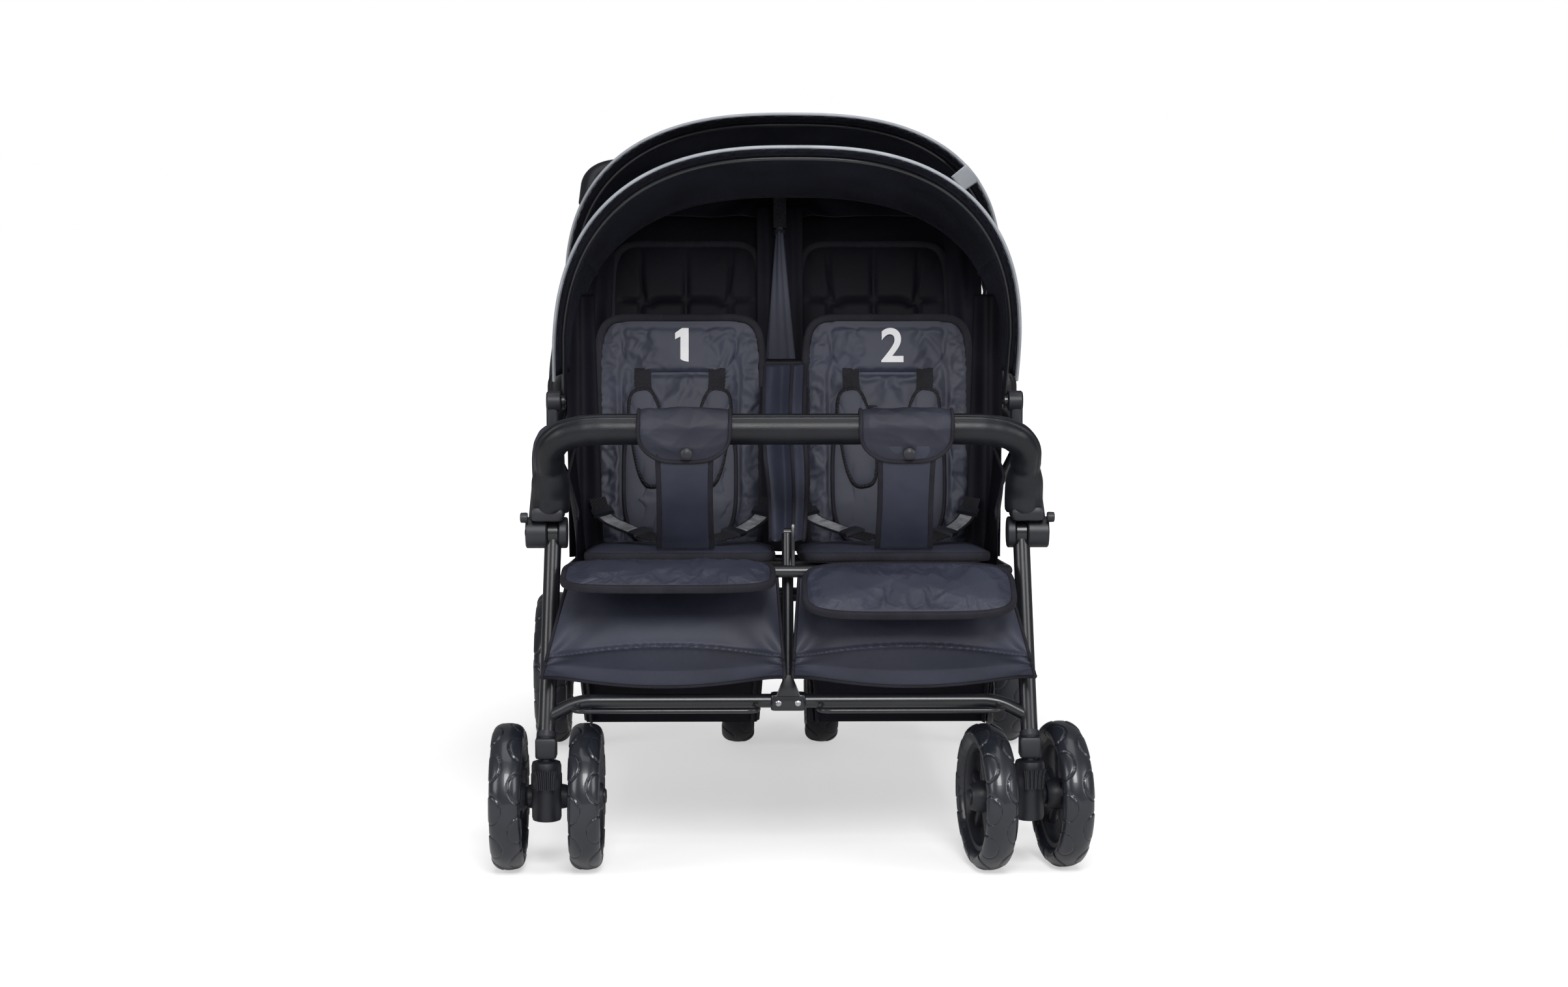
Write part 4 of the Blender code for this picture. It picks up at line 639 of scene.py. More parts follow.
ridges = [disc(1, (CROSS[0] + out, CROSS[1] + 0.0125 - PLATE_DROP * out), (0.131, 0.199), 0.0014, 10)
          for out in (0.020, 0.030, 0.040, 0.050, 0.060)]
piece("brake_lever", [sleeve, tread_plate] + ridges, plastic, "brake", ["brake_pedal"])

# Handle: one bent tube from disc to disc with a foam grip over its top and corners.
# The grip has a seam along its inner side and tight cuffs at its ends.
HANDLE_TOP = np.array((0.533, 0.906))
GRIP_RADIUS, GRIP_CUFF, GRIP_REACH = 0.0170, 0.0022, 0.075
way = unit(HANDLE_TOP - SIDE_PIVOT)
knee, top = np.array((0.3385, *(SIDE_PIVOT + way * 0.090))), np.array((0.2930, *HANDLE_TOP))
plane = (0, -way[1], way[0])
half = [(0.3385, *(SIDE_PIVOT + way * 0.018)), tuple(knee), tuple(top)]
parts = [tube(bend(mirrored(half), 0.050), 0.0105, plane)]
parts += [disc(side, SIDE_PIVOT, (0.3278, 0.3290, 0.3438, 0.3450), EYE_RADII, 48) for side in (-1, 1)]
piece("handle_bow", parts, tube_paint, "handle", ["handle_tube"])
route = bend(mirrored([tuple(top + unit(knee - top) * GRIP_REACH), tuple(top)]), 0.050, 14)
along = np.linalg.norm(np.diff(route, axis=0), axis=1).cumsum()
share = np.concatenate([[0], along]) / along[-1]
fat = GRIP_RADIUS - GRIP_CUFF * np.exp(-np.minimum(share, 1 - share) / 0.008)
piece("foam_grip", [tube(route, fat, plane, 32)], leatherette, "handle", ["handle_grip"])

# Seat frame: the loop of tube that the pads lie on, stepped up between the rows, with its cross tubes and ties.
# It is all behind the cloth but for its corners.
LOOP_X = 0.283
FRONT, MIDDLE, STEP, REAR = (-0.432, 0.386), (-0.128, 0.362), (-0.040, 0.430), (0.290, 0.425)
loop = mirrored([(LOOP_X, *at) for at in (REAR, STEP, MIDDLE, FRONT)])
parts = [tube(bend(loop, 0.022), 0.008, (0.05, 0.1, 1.0))]
parts += [disc(1, at, (-LOOP_X, LOOP_X), 0.0078, 24) for at in (MIDDLE, REAR)]
front_tie = ((LOOP_X, -0.122, 0.366), (0.2845, -0.122, 0.440), (0.3220, -0.122, rail_height(-0.122) - 0.011))
rear_tie = ((LOOP_X, *REAR), (0.2850, 0.283, 0.520), (0.2900, 0.268, 0.600), (0.3055, 0.250, 0.648))
for side in (-1, 1):
    for tie, radius in ((front_tie, 0.0068), (rear_tie, 0.0066)):
        parts.append(tube(bend([(side * x, y, z) for x, y, z in tie], 0.02), radius, (0, 1, 0), 20))
lug = [(0.0070, y, z) for y, z in ((-0.392, 0.440), (-0.4000, 0.4220), FRONT)]
lug = sweep(lug, (0.0068, 0.0024), (1, 0, 0), 16, 6.0)
pin = disc(1, LEG_PIVOT, (-0.0048, 0.0095), 0.0055, 20)
piece("seat_loop", parts + [lug, pin], tube_paint, "frame", ["seat_frame"])

# Front bar: a padded tube in black leatherette, joined by two rows of stitches along its top front.
# Tighter cuffs end it above the joints, and bare stubs go into their sockets.
SEAM_AT = math.radians(38)
BAR_Y, BAR_Z = -0.452, 0.571
BAR_RADIUS, CUFF_LONG, CUFF_RISE = 0.0198, 0.052, 0.0050


def spaced(route, count):
    """A route again with its points an equal way apart, and how far along it each of them is."""
    along = np.concatenate([[0], np.linalg.norm(np.diff(route, axis=0), axis=1).cumsum()])
    evenly = np.linspace(0, along[-1], count)
    return np.stack([np.interp(evenly, along, route[:, k]) for k in range(3)], -1), evenly


def stitched_bar(path, radius, seam_at, depth, wide, height, sides=64):
    """A tube dented along stitched lines, radius - depth × near(angle, seam, wide), and raised between them."""
    points, faces = sweep(path, (1.0, 1.0), (0, 1, 0), sides)
    points = points.reshape(len(path), sides, 3)
    direction = points - path[:, None]
    angle = np.linspace(0, 2 * np.pi, sides, endpoint=False)
    dent = sum(depth * near((angle - at + np.pi) % (2 * np.pi), np.pi, wide) for at in seam_at)
    rise = height * near((angle - np.mean(seam_at) + np.pi) % (2 * np.pi), np.pi, 2.2 * wide)
    size = radius[:, None] - dent + rise
    return (path[:, None] + direction * size[..., None]).reshape(-1, 3), faces


half = [(0.306, -0.398, 0.4590), (0.306, -0.398, 0.492), (0.306, BAR_Y, BAR_Z)]
route, evenly = spaced(bend(mirrored(half), 0.075, 18), 240)
from_end = np.minimum(evenly, evenly[-1] - evenly)
cuff = 1 / (1 + np.exp((from_end - CUFF_LONG) / 0.0050))
fat = BAR_RADIUS + CUFF_RISE * cuff - 0.0025 * np.exp(-from_end / 0.0020)
fat = fat - 0.0012 * near(from_end, 0.064, 0.0045)
fat = fat + 0.0003 * np.sin(evenly * 260) * near(from_end, 0.13, 0.05)
bar = stitched_bar(route, fat, (SEAM_AT - 0.16, SEAM_AT + 0.16), 0.0010, 0.075, 0.0006)
stubs = [tube([(side * 0.303, -0.398, 0.4540), (side * 0.303, -0.398, 0.4690)], 0.008) for side in (-1, 1)]
piece("padded_bar", [bar], leatherette, "front_bar", ["front_bumper_bar"])
piece("bar_stubs", stubs, steel, "front_bar")

# Rear bar: the same padded tube for the rear row, standing on stubs in the armrest tubes.
REAR_BAR_RADIUS, REAR_BAR_Z = 0.0168, 0.612
half = [(RAIL_X, REAR_BAR_Y, rail_height(REAR_BAR_Y) + 0.0153), (RAIL_X, REAR_BAR_Y, REAR_BAR_Z)]
route, _ = spaced(bend(mirrored(half), 0.045, 14), 200)
bar = stitched_bar(route, np.full(200, REAR_BAR_RADIUS), (SEAM_AT - 0.18, SEAM_AT + 0.18), 0.0009, 0.08, 0.0005)
piece("rear_padded_bar", [bar], leatherette, "rear_bar", ["rear_bumper_bar"])

# Hoods: black cloth stretched from a bow in front to the rear edge, one over each row, with a pale reflective
# binding round the front edge, a stitched hem inside it and creases that run down to the clamps.
HOOD_LEAN, HOOD_BASE, BOW_POWER = 0.009, 0.042, 2.6


def rumple(x, y, seed, count, finest, depth):
    """Soft creases: the sum of ridges 1 - |sin(pi × t)| along random slightly bent lines, centred on zero."""
    random = np.random.default_rng(seed)
    total = np.zeros(np.broadcast(x, y).shape)
    for number in range(count):
        angle = random.uniform(0, np.pi)
        wave = finest * random.uniform(1.0, 3.5)
        along = x * np.cos(angle) + y * np.sin(angle)
        across = -x * np.sin(angle) + y * np.cos(angle)
        bent = along / wave + 0.35 * np.sin(across / wave * 1.7 + random.uniform(0, 6.3)) + random.uniform(0, 1)
        fade = 0.5 + 0.5 * np.sin(across / wave * 0.9 + random.uniform(0, 6.3))
        total += (0.36 - np.abs(np.sin(np.pi * bent)) ** 0.75 * 0.5) * fade * (wave / finest) ** 0.5
    return depth * total / count ** 0.5


def normals(points):
    """Unit normals of a grid of points, from the cross product of its two gradients."""
    normal = np.cross(np.gradient(points, axis=0), np.gradient(points, axis=1))
    return normal / np.maximum(np.linalg.norm(normal, axis=2, keepdims=True), 1e-12)


def bow_line(pivot, top, half, t):
    """A squared half ellipse in the plane of the pivot line and the top: x = -half·cos^(2/p), rise by sin^(2/p)."""
    away = np.array(top) - np.array(pivot)
    reach = np.linalg.norm(away)
    across, up = rounded(t, 2 / BOW_POWER)
    rise = HOOD_BASE + (reach - HOOD_BASE) * np.abs(up)
    return np.stack([-across * half + HOOD_LEAN * rise / reach, pivot[0] + away[0] / reach * rise,
                     pivot[1] + away[1] / reach * rise], -1)


def hood_surface(pivot, tops, halves, rows, cols, fullness):
    """Bow lines from the front top to the rear top, a little fuller between them."""
    t = np.linspace(0, np.pi, cols)
    lines = []
    for share in np.linspace(0, 1, rows):
        rise = fullness * np.sin(np.pi * share)
        top = mix(np.array(tops[0]), np.array(tops[1]), share) + (0, rise)
        lines.append(bow_line(pivot, top, mix(*halves, share) + rise / 2, t))
    return np.array(lines)


def solidify(made, thickness, offset=-1.0):
    """Gives an open cloth its thickness."""
    wall = made.modifiers.new("thickness", "SOLIDIFY")
    wall.thickness = thickness
    wall.offset = offset


def declare(made, thickness, offset):
    """Thickens a sheet."""
    solidify(made, thickness, offset)


def open_cloth(name, grid, finish, body, thickness, stands_for=(), offset=-1.0):
    """A sheet made of one grid of points."""
    made = piece(name, [(grid, weave_faces(*grid.shape[:2]))], finish, body, stands_for)
    declare(made, thickness, offset)
    return made


HOODS = (
    ("front_hood", CLAMPS[0], ((-0.360, 0.929), (-0.035, 0.866)), (0.316, 0.296), 11, 0.12),
    ("rear_hood", CLAMPS[1], ((0.000, 0.980), (0.497, 0.902)), (0.322, 0.318), 23, 0.20),
)
for label, pivot, tops, halves, seed, fold in HOODS:
    rows, cols = 90, 220
    surface = hood_surface(pivot, tops, halves, rows, cols, 0.006)
    share, t = field(rows, cols)
    normal = normals(surface)
    normal *= np.sign(np.sum(normal * (surface - np.array([0, *pivot])), axis=2, keepdims=True))
    side = np.minimum(t, 1 - t)
    near_clamp = np.exp(-side / 0.10)
    inwards = share * np.linalg.norm(surface[-1, cols // 2] - surface[0, cols // 2])
    seam = 0.0025 * near(side, 0.155, 0.004)
    hem = 0.0012 * near(inwards, 0.022, 0.0022)
    gathers = 0.0016 * np.sin(t * 330 + 2 * np.sin(t * 40)) * near(inwards, 0.024, 0.012)
    folds = rumple(inwards, t * 0.9, seed, 9, 0.05, 0.0016) * (0.35 + 1.6 * near_clamp)
    sag = 0.0045 * np.sin(np.pi * share) ** 2 * (0.4 + near_clamp)
    move = folds * clamp(share * 12) - seam - hem + gathers - sag
    surface = surface + normal * (move - 0.001)[..., None]
    hood = open_cloth(f"{label}_cloth", surface, hood_cloth, None, 0.0016, [label])
    middle = np.array(tops).mean(0) - pivot
    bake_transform(hood)

    if label == "rear_hood":
        along_bow = np.linspace(0.765, 0.805, 13) * np.pi
        inside = np.linspace(0, 1, 9)[:, None, None]
        outer = bow_line(pivot, tops[0], halves[0] + 0.002, along_bow)
        inner = bow_line(pivot, np.array(tops[0]) - (0, 0.024), halves[0] - 0.026, along_bow)
        patch = mix(outer, inner, inside) + (0, -0.0050, 0.0020)
        open_cloth("hood_tag", patch, pale_binding, f"{label}_bow", 0.0008, offset=0.0)

    # the pale binding folded over the front edge, wider down the sides, and a dark one at the rear edge
    t = np.linspace(0, np.pi, 260)
    back_way = unit(surface[3, cols // 2] - surface[0, cols // 2])
    low = clamp(1 - np.sin(t)) ** 1.5
    size = np.stack([0.0024 + 0 * low, 0.0048 + 0.0080 * low], -1)
    bound = sweep(bow_line(pivot, tops[0], halves[0], t) + back_way * 0.003, size, back_way, 20, 3.0)
    piece(f"{label}_binding", [bound], pale_binding, f"{label}_bow")
    bound = sweep(surface[-1], (0.0022, 0.0045), back_way, 14, 3.0)
    piece(f"{label}_rear_binding", [bound], binding, "frame")

    # the bow: a thin tube in the hem, on eyes that turn on the clamps
    away = np.array(tops[0]) * 0.94 + np.array(tops[1]) * 0.06 - pivot
    inner = bow_line(pivot, np.array(pivot) + away * (1 - 0.0125 / np.linalg.norm(away)), halves[0] - 0.0125,
                     np.linspace(0.12, np.pi - 0.12, 160))
    foot = np.array([0.3020, *(np.array(pivot) + away / np.linalg.norm(away) * 0.008)])
    parts = [tube(np.concatenate([[foot * (-1, 1, 1)], inner, [foot]]), 0.0038, (0, -away[1], away[0]), 14)]
    parts += [disc(end, pivot, (0.3011, 0.3018, 0.3058, 0.3064), (0.0100, 0.0110, 0.0110, 0.0100), 28)
              for end in (-1, 1)]
    piece(f"{label}_bow_tube", parts, tube_paint, f"{label}_bow", [f"{label}_rib"])

# Backrests: padded boards in woven cloth with sewn side bolsters, a cross tuck at the strap slots and a broad bound
# edge. They hang behind the cross tubes and recline on them, and the front two carry the seat numbers.


def lay(centre_x, start, along, lift=0.0):
    """A place on a seat part: origin, then its across, along and outward directions, in the side view."""
    along = np.array([0, *along]) / np.hypot(*along)
    out = np.cross((1, 0, 0), along)
    return np.array([centre_x, *start]) + out * lift, np.array((1.0, 0, 0)), along, out


def put(place, x, y, z):
    """Points across, along and out from a place."""
    origin, right, along, out = place
    x, y, z = np.broadcast_arrays(x, y, z)
    return origin + x[..., None] * right + y[..., None] * along + z[..., None] * out


def pad_outline(u, v, width, length, corner, pull):
    """Maps a square to a pad's outline: rounded corners of a given power, sides drawn in between them."""
    reach = np.maximum(np.abs(u), np.abs(v))
    full = (np.abs(u) ** corner + np.abs(v) ** corner) ** (1 / corner)
    scale = reach / np.maximum(full, 1e-9)
    return (u * scale * (1 - pull * (1 - v**2)) * width / 2,
            v * scale * (1 - pull * (1 - u**2)) * length / 2 + length / 2)


STITCH = 0.0045


def pad(place, width, length, thick, crown, corner=6.0, pull=0.012, lanes=(), tucks=(), seed=1, creased=0.0015,
        under=1.0, size=(90, 110), fine=0.045):
    """A sewn pad: crowned faces less a groove along each lane (share of half width) and tuck (share of length)."""
    u, v = np.meshgrid(np.linspace(-1, 1, size[0]), np.linspace(-1, 1, size[1]))
    u = np.sin(u * np.pi / 2) * 0.35 + u * 0.65
    v = np.sin(v * np.pi / 2) * 0.35 + v * 0.65
    x, y = pad_outline(u, v, width, length, corner, pull)
    edge = clamp(1 - np.abs(u) ** 14) ** 0.5 * clamp(1 - np.abs(v) ** 14) ** 0.5
    puffed = (1 - u**4) * (1 - v**4)
    groove = np.zeros_like(u)
    for lane in lanes:
        groove = groove + near((u - lane) * width / 2, 0, STITCH)
    for tuck, low, high in tucks:
        inside = clamp((u - low) * 12) * clamp((high - u) * 12)
        groove = groove + inside * near(((v + 1) / 2 - tuck) * length, 0, STITCH)
    top = edge * (thick / 2 - crown) + crown * puffed * (1 - 0.85 * clamp(groove))
    top = top + rumple(x, y, seed, 9, fine, creased) * edge * puffed
    bottom = -(edge * (thick / 2 - crown) + crown * puffed * under)
    points = np.concatenate([put(place, x, y, top).reshape(-1, 3), put(place, x, y, bottom).reshape(-1, 3)])
    quads = weave_faces(size[1], size[0])
    return points, quads + [[index + x.size for index in quad[::-1]] for quad in quads]


def piping(place, width, length, corner, pull, inset, size, sides=16, power=3.0, count=260):
    """The bound edge of a pad: a closed sweep along its outline, set a little inwards."""
    t = np.linspace(0, 2 * np.pi, count, endpoint=False)
    big = np.maximum(np.abs(np.cos(t)), np.abs(np.sin(t)))
    x, y = pad_outline(np.cos(t) / big, np.sin(t) / big, width, length, corner, pull)
    path = put(place, x * (1 - 2 * inset / width), (y - length / 2) * (1 - 2 * inset / length) + length / 2, 0.0)
    return sweep(path, size, place[3], sides, power, True)


COVER = {"quality": 4, "mass": 0.15, "tension_stiffness": 12, "compression_stiffness": 12, "shear_stiffness": 4,
         "bending_stiffness": 0.05, "vertex_group_mass": "sewn", "shrink_min": -0.04, "use_pressure": True,
         "uniform_pressure_force": 2.5}
COVER_CAP, COVER_FRAMES, SEWN_HALF = 0.005, 13, 0.0035


def swell(made, place, width, length, lanes=(), tucks=(), printed=(0, 0, 0)):
    """Cloth simulation of a pad's cover: cut 4 % too large, sewn down along its edge, underside and seams, stiff where
    it is printed (height, half width, half height), and pushed out from inside, with no point moved past the cap."""
    mesh = made.data
    start = np.empty(len(mesh.vertices) * 3)
    mesh.vertices.foreach_get("co", start)
    start = start.reshape(-1, 3)
    origin, right, along, out = place
    across, up, height = (start - origin) @ right, (start - origin) @ along, (start - origin) @ out
    margin = 0.035 * width
    sewn = (height < 0.0008) | (np.abs(across) > width / 2 - margin) | (np.abs(up - length / 2) > length / 2 - margin)
    for lane in lanes:
        sewn |= np.abs(across - lane * width / 2) < SEWN_HALF
    for tuck, low, high in tucks:
        sewn |= (np.abs(up - tuck * length) < SEWN_HALF) & (across > low * width / 2) & (across < high * width / 2)
    sewn |= (np.abs(across) < printed[1]) & (np.abs(up - printed[0]) < printed[2])
    group = made.vertex_groups.new(name="sewn")
    group.add(np.flatnonzero(sewn).tolist(), 1.0, "REPLACE")
    cover = made.modifiers.new("swell", "CLOTH")
    for key, value in COVER.items():
        setattr(cover.settings, key, value)
    cover.settings.effector_weights.gravity = 0
    cover.point_cache.frame_start = 1
    cover.point_cache.frame_end = COVER_FRAMES
    for frame in range(1, COVER_FRAMES + 1):
        bpy.context.scene.frame_set(frame)
    evaluated = made.evaluated_get(bpy.context.evaluated_depsgraph_get())
    end = np.empty(len(start) * 3)
    evaluated.data.vertices.foreach_get("co", end)
    made.modifiers.remove(cover)
    made.vertex_groups.remove(group)
    step = end.reshape(-1, 3) - start
    step *= np.minimum(1, COVER_CAP / np.maximum(np.linalg.norm(step, axis=1, keepdims=True), 1e-9))
    mesh.vertices.foreach_set("co", (start + step).ravel())
    mesh.update()
    bpy.context.scene.frame_set(1)


BACK_SET, BACK_WIDTH = 0.0151, 0.243
BACKS = ((1, -0.1455, MIDDLE, 12, 0.357), (2, 0.1455, MIDDLE, 12, 0.357),
         (3, -0.1455, REAR, 18, 0.401), (4, 0.1455, REAR, 18, 0.401))
PRINTED = (0.3085, 0.032, 0.029)
back_places = {}
for number, x, hinge, lean, length in BACKS:
    lean = math.radians(lean)
    start = (hinge[0] - 0.006 * math.sin(lean), hinge[1] - 0.006 * math.cos(lean))
    place = back_places[number] = lay(x, start, (math.sin(lean), math.cos(lean)), -BACK_SET)
    body, front_row = f"back_{number}", number < 3
    wide, long = BACK_WIDTH - 0.006, length - 0.004
    if front_row:
        lanes, tucks = (-0.70, 0.70), ((0.765, -0.42, 0.42), (0.955, -0.84, 0.84))
        creased, fine = 0.0028, 0.034
    else:
        lanes, tucks = (-0.60, 0.0, 0.60), ((0.50, -0.95, 0.95), (0.76, -0.95, 0.95))
        creased, fine = 0.0042, 0.070
    shell = pad(place, wide, long, 0.026, 0.007, 8.0, 0.010, lanes, tucks, 40 + number, creased, fine=fine)
    # the rear backs take the darker cloth, a painted shade for their place under the hood
    made = piece(f"back_pad_{number}", [shell], cloth if front_row else painted_shade_cloth, body,
                 [f"backrest_{number}"])
    if front_row:
        swell(made, place, wide, long, lanes, tucks, PRINTED)
    edge = piping(place, wide, long, 8.0, 0.010, 0.003, (0.0062, 0.0074), 20)
    piece(f"back_edge_{number}", [edge], binding, body)

# Seat numbers: white print, about 48 mm tall, lying on the cloth at the top of the front backs.
# The 1 is a plain outline with a short flag, and the 2 comes from a type face.
NUMBER_TALL = 0.0485
ONE = np.array([(0.0075, 0), (0.0190, 0), (0.0190, NUMBER_TALL), (0.0095, NUMBER_TALL), (0.0000, 0.0415),
                (0.0000, 0.0325), (0.0075, 0.0365)])
letters = bpy.data.curves.new("letters", "FONT")
letters.body = "2"
letters.size = 0.066
letters.offset = 0.0013
letters.resolution_u = 12
maker = add("letters", letters)
flat = maker.to_mesh()
two = np.empty(len(flat.vertices) * 3)
flat.vertices.foreach_get("co", two)
two = two.reshape(-1, 3)[:, :2]
two_faces = [list(polygon.vertices) for polygon in flat.polygons]
maker.to_mesh_clear()
bpy.data.objects.remove(maker, do_unlink=True)
for number, x, points, faces in ((1, -0.1430, ONE, [[0, 1, 2, 6], [2, 3, 4, 5], [2, 5, 6]]),
                                 (2, 0.1520, two, two_faces)):
    points = points - (points.min(0) + points.max(0)) / 2
    points[:, 1] *= NUMBER_TALL / np.ptp(points[:, 1])
    place = back_places[number]
    shape = put(place, points[:, 0] + (x - place[0][0]), points[:, 1] + PRINTED[0], 0.0118)
    made = piece(f"seat_number_{number}", [(shape, faces)], print_white, f"back_{number}", smooth=False)
    solidify(made, 0.0012, 0.0)

# Harnesses: ribbed webbing through the slots of the front backs, padded shoulder sleeves with rounded ends, and
# waist straps with sliders and rings that lie over the pad to the crotch strap.
SHOULDER_PAD, SHOULDER_TILT = (0.046, 0.140), 0.16
for number in (1, 2):
    place = origin, right, along, out = back_places[number]
    straps, pads = [], []
    for side in (-1, 1):
        x0, x1 = side * 0.0520, side * 0.0400
        path = put(place, np.array([x0, x0, x0, x0 * 0.98, x1, x1 * 0.9]),
                   np.array([0.276, 0.273, 0.262, 0.245, 0.200, 0.150]),
                   np.array([0.0085, 0.0128, 0.0150, 0.0185, 0.0200, 0.0200]))
        straps.append(sweep(bend(path, 0.008, 4), (0.0115, 0.0008), out, 20, 5.0))
        tilt = side * SHOULDER_TILT
        turned = (put(place, side * 0.033, 0.108, 0.0196), right * math.cos(tilt) - along * math.sin(tilt),
                  along * math.cos(tilt) + right * math.sin(tilt), out)
        pads.append(pad(turned, *SHOULDER_PAD, 0.0095, 0.0030, 3.2, 0.0, (), (), 60 + number, 0.0006, 1.0, (36, 70)))
        straps.append(piping(turned, *SHOULDER_PAD, 3.2, 0.0, 0.0015, (0.0030, 0.0026), 12, 2.0, 140))
    piece(f"shoulder_straps_{number}", straps, webbing, f"back_{number}", [f"harness_{number}"])
    made = piece(f"shoulder_pads_{number}", pads, cloth, f"back_{number}")

# Inserts: a soft liner with piping on each front back, under the shoulder pads.
LINER = (0.158, 0.200)
for number in (1, 2):
    origin, right, along, out = back_places[number]
    place = (origin + along * 0.022 + out * 0.0125, right, along, out)
    liner = pad(place, *LINER, 0.0100, 0.0030, 3.4, 0.0, (-0.55, 0.55), (), 280 + number, 0.0018,
                size=(70, 84), fine=0.030)
    made = piece(f"back_liner_{number}", [liner], cloth, f"back_{number}")
    edge = piping(place, *LINER, 3.4, 0.0, 0.001, (0.0030, 0.0036), 12, 2.0)
    piece(f"back_liner_edge_{number}", [edge], binding, f"back_{number}")

# Waist straps: webbing from each seat's rear corners over the pad to the crotch strap, with a slider on each and a
# plain pale tape sewn along the middle of it.
CROTCH_X = {1: -0.132, 2: 0.150}
for number, middle in ((1, -0.140), (2, 0.140)):
    crotch = CROTCH_X[number]
    straps, tapes, sliders = [], [], []
    for side in (-1, 1):
        path = bend([(middle + side * 0.118, -0.158, 0.452), (middle + side * 0.108, -0.198, 0.4290),
                     (crotch + side * 0.070, -0.275, 0.4190), (crotch + side * 0.036, -0.345, 0.4180)], 0.035, 10)
        facing = (side * 0.10, -0.30, 0.95)
        straps.append(sweep(path, (0.0115, 0.0009), facing, 20, 5.0))
        tapes.append(sweep(path[6:18] + (0, -0.0004, 0.0012), (0.0085, 0.0006), facing, 16, 5.0))
        for first, size in ((2, (0.0150, 0.0034)), (18, (0.0145, 0.0038))):
            sliders.append(sweep(path[first:first + 4] + (0, -0.0006, 0.0016), size, facing, 20, 4.0))
    piece(f"waist_straps_{number}", straps, webbing, "frame")
    piece(f"waist_tapes_{number}", tapes, pale_tape, "frame")
    piece(f"waist_sliders_{number}", sliders, plastic, "frame")

# Seat pads: flat-bottomed cushions on the seat loop, tufted along one cross seam and bound round the edge.
PAN_LIFT = 0.0003 + 0.0090 + 0.0078
FRONT_PAN, REAR_PAN = ((-0.427, 0.3863), MIDDLE), ((0.000, 0.430), (0.288, 0.425))
for number, x, (start, end) in ((1, -0.140, FRONT_PAN), (2, 0.140, FRONT_PAN), (3, -0.140, REAR_PAN),
                                (4, 0.140, REAR_PAN)):
    along = (end[0] - start[0], end[1] - start[1])
    place = lay(x, start, along, PAN_LIFT)
    extent = (0.250, math.hypot(*along) - 0.004)
    shell = pad(place, *extent, 0.024, 0.003, 9.0, 0.012, (), ((0.52, -0.9, 0.9),), 70 + number, 0.0018, 0.0,
                (70, 84))
    made = piece(f"seat_pad_{number}", [shell], cloth, "frame", [f"seat_pan_{number}"])
    edge = piping(place, *extent, 9.0, 0.012, 0.003, (0.0040, 0.0060))
    piece(f"seat_pad_edge_{number}", [edge], binding, "frame")

# Leg rests: soft flaps with a bound edge that hang from the front tube; the right one hangs lower than the left.
LEG_FLAP, LEG_REACH, LEG_LIFT = (0.272, 0.1205), 0.1255, 0.0143
for number, x, droop in ((1, -0.152, 9.5), (2, 0.152, 26)):
    droop = math.radians(droop)
    ahead = np.array((-math.cos(droop), -math.sin(droop)))
    tip = np.array(FRONT) + ahead * LEG_REACH + np.array((-math.sin(droop), math.cos(droop))) * LEG_LIFT
    place, body = lay(x, tip, -ahead), f"leg_rest_{number}_body"
    shell = pad(place, *LEG_FLAP, 0.0165, 0.0040, 4.0, 0.012, (), (), 80 + number, 0.0042, 0.15, (120, 70), 0.034)
    made = piece(f"leg_flap_{number}", [shell], cloth, body, [f"leg_rest_{number}"])
    swell(made, place, *LEG_FLAP)
    edge = piping(place, *LEG_FLAP, 4.0, 0.012, 0.0026, (0.0040, 0.0052))
    piece(f"leg_flap_edge_{number}", [edge], binding, body)

# Calf cloths: woven panels hung from the front tube, pushed forwards over a curved front seam and drawn down to
# their corners, with creases that fan from the corners and a shiny puckered strip on the seam's middle.
CALF_TOP = (0, -0.436, 0.3776)


def rim_of(grid):
    """The path down one side of a cloth, along its last row and up the other side."""
    return np.concatenate([grid[:, 0], grid[-1, 1:-1], grid[::-1, -1]])


for label, side in SIDES:
    share, u = field(110, 150, -1)
    half = 0.134 + 0.020 * share
    middle = side * (0.148 + 0.011 * share)
    bulge = 0.022 * np.sin(np.pi * np.minimum(share * 1.15, 1)) * (1 - u**2)
    y = CALF_TOP[1] - 0.066 * share**0.9 - bulge
    z = CALF_TOP[2] - 0.1176 * share - 0.018 * share**3 * (1 - u**2)
    x = middle + side * half * u
    seam = 0.63 + 0.16 * u**2
    ridge = 0.0042 * near(share, seam, 0.020)
    pucker = 0.0014 * np.sin(u * 95 + 3 * np.sin(u * 9)) * near(share, seam, 0.028) * np.exp(-((u / 0.48) ** 4))
    fans = 0.0030 * np.sin(np.arctan2(share - 0.9, np.abs(u) - 1.05) * 9) * near(np.abs(u), 1, 0.35)
    fans = fans * np.sin(np.pi * share) ** 0.5
    fold = rumple(x, z + y * 0.5, 90 + side, 10, 0.050, 0.0026) * np.sin(np.pi * share) ** 0.4
    under = 0.034 * clamp((share - seam) / (1 - seam)) ** 0.9 * (1 - u**8)
    grid = np.stack([x, y - (ridge + pucker + fans + fold) + under + 0.0020, z], -1)
    panel = open_cloth(f"calf_cloth_{label}", grid, cloth, "front_legs", 0.0012,
                       [f"calf_panel_{label}"], 0.0)
    hem = piece(f"calf_hem_{label}", [sweep(rim_of(grid), (0.0022, 0.0034), (0.0, 1.0, 0.05), 12, 2.5)], binding,
                "front_legs")
    for made in (panel, hem):
        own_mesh(made)

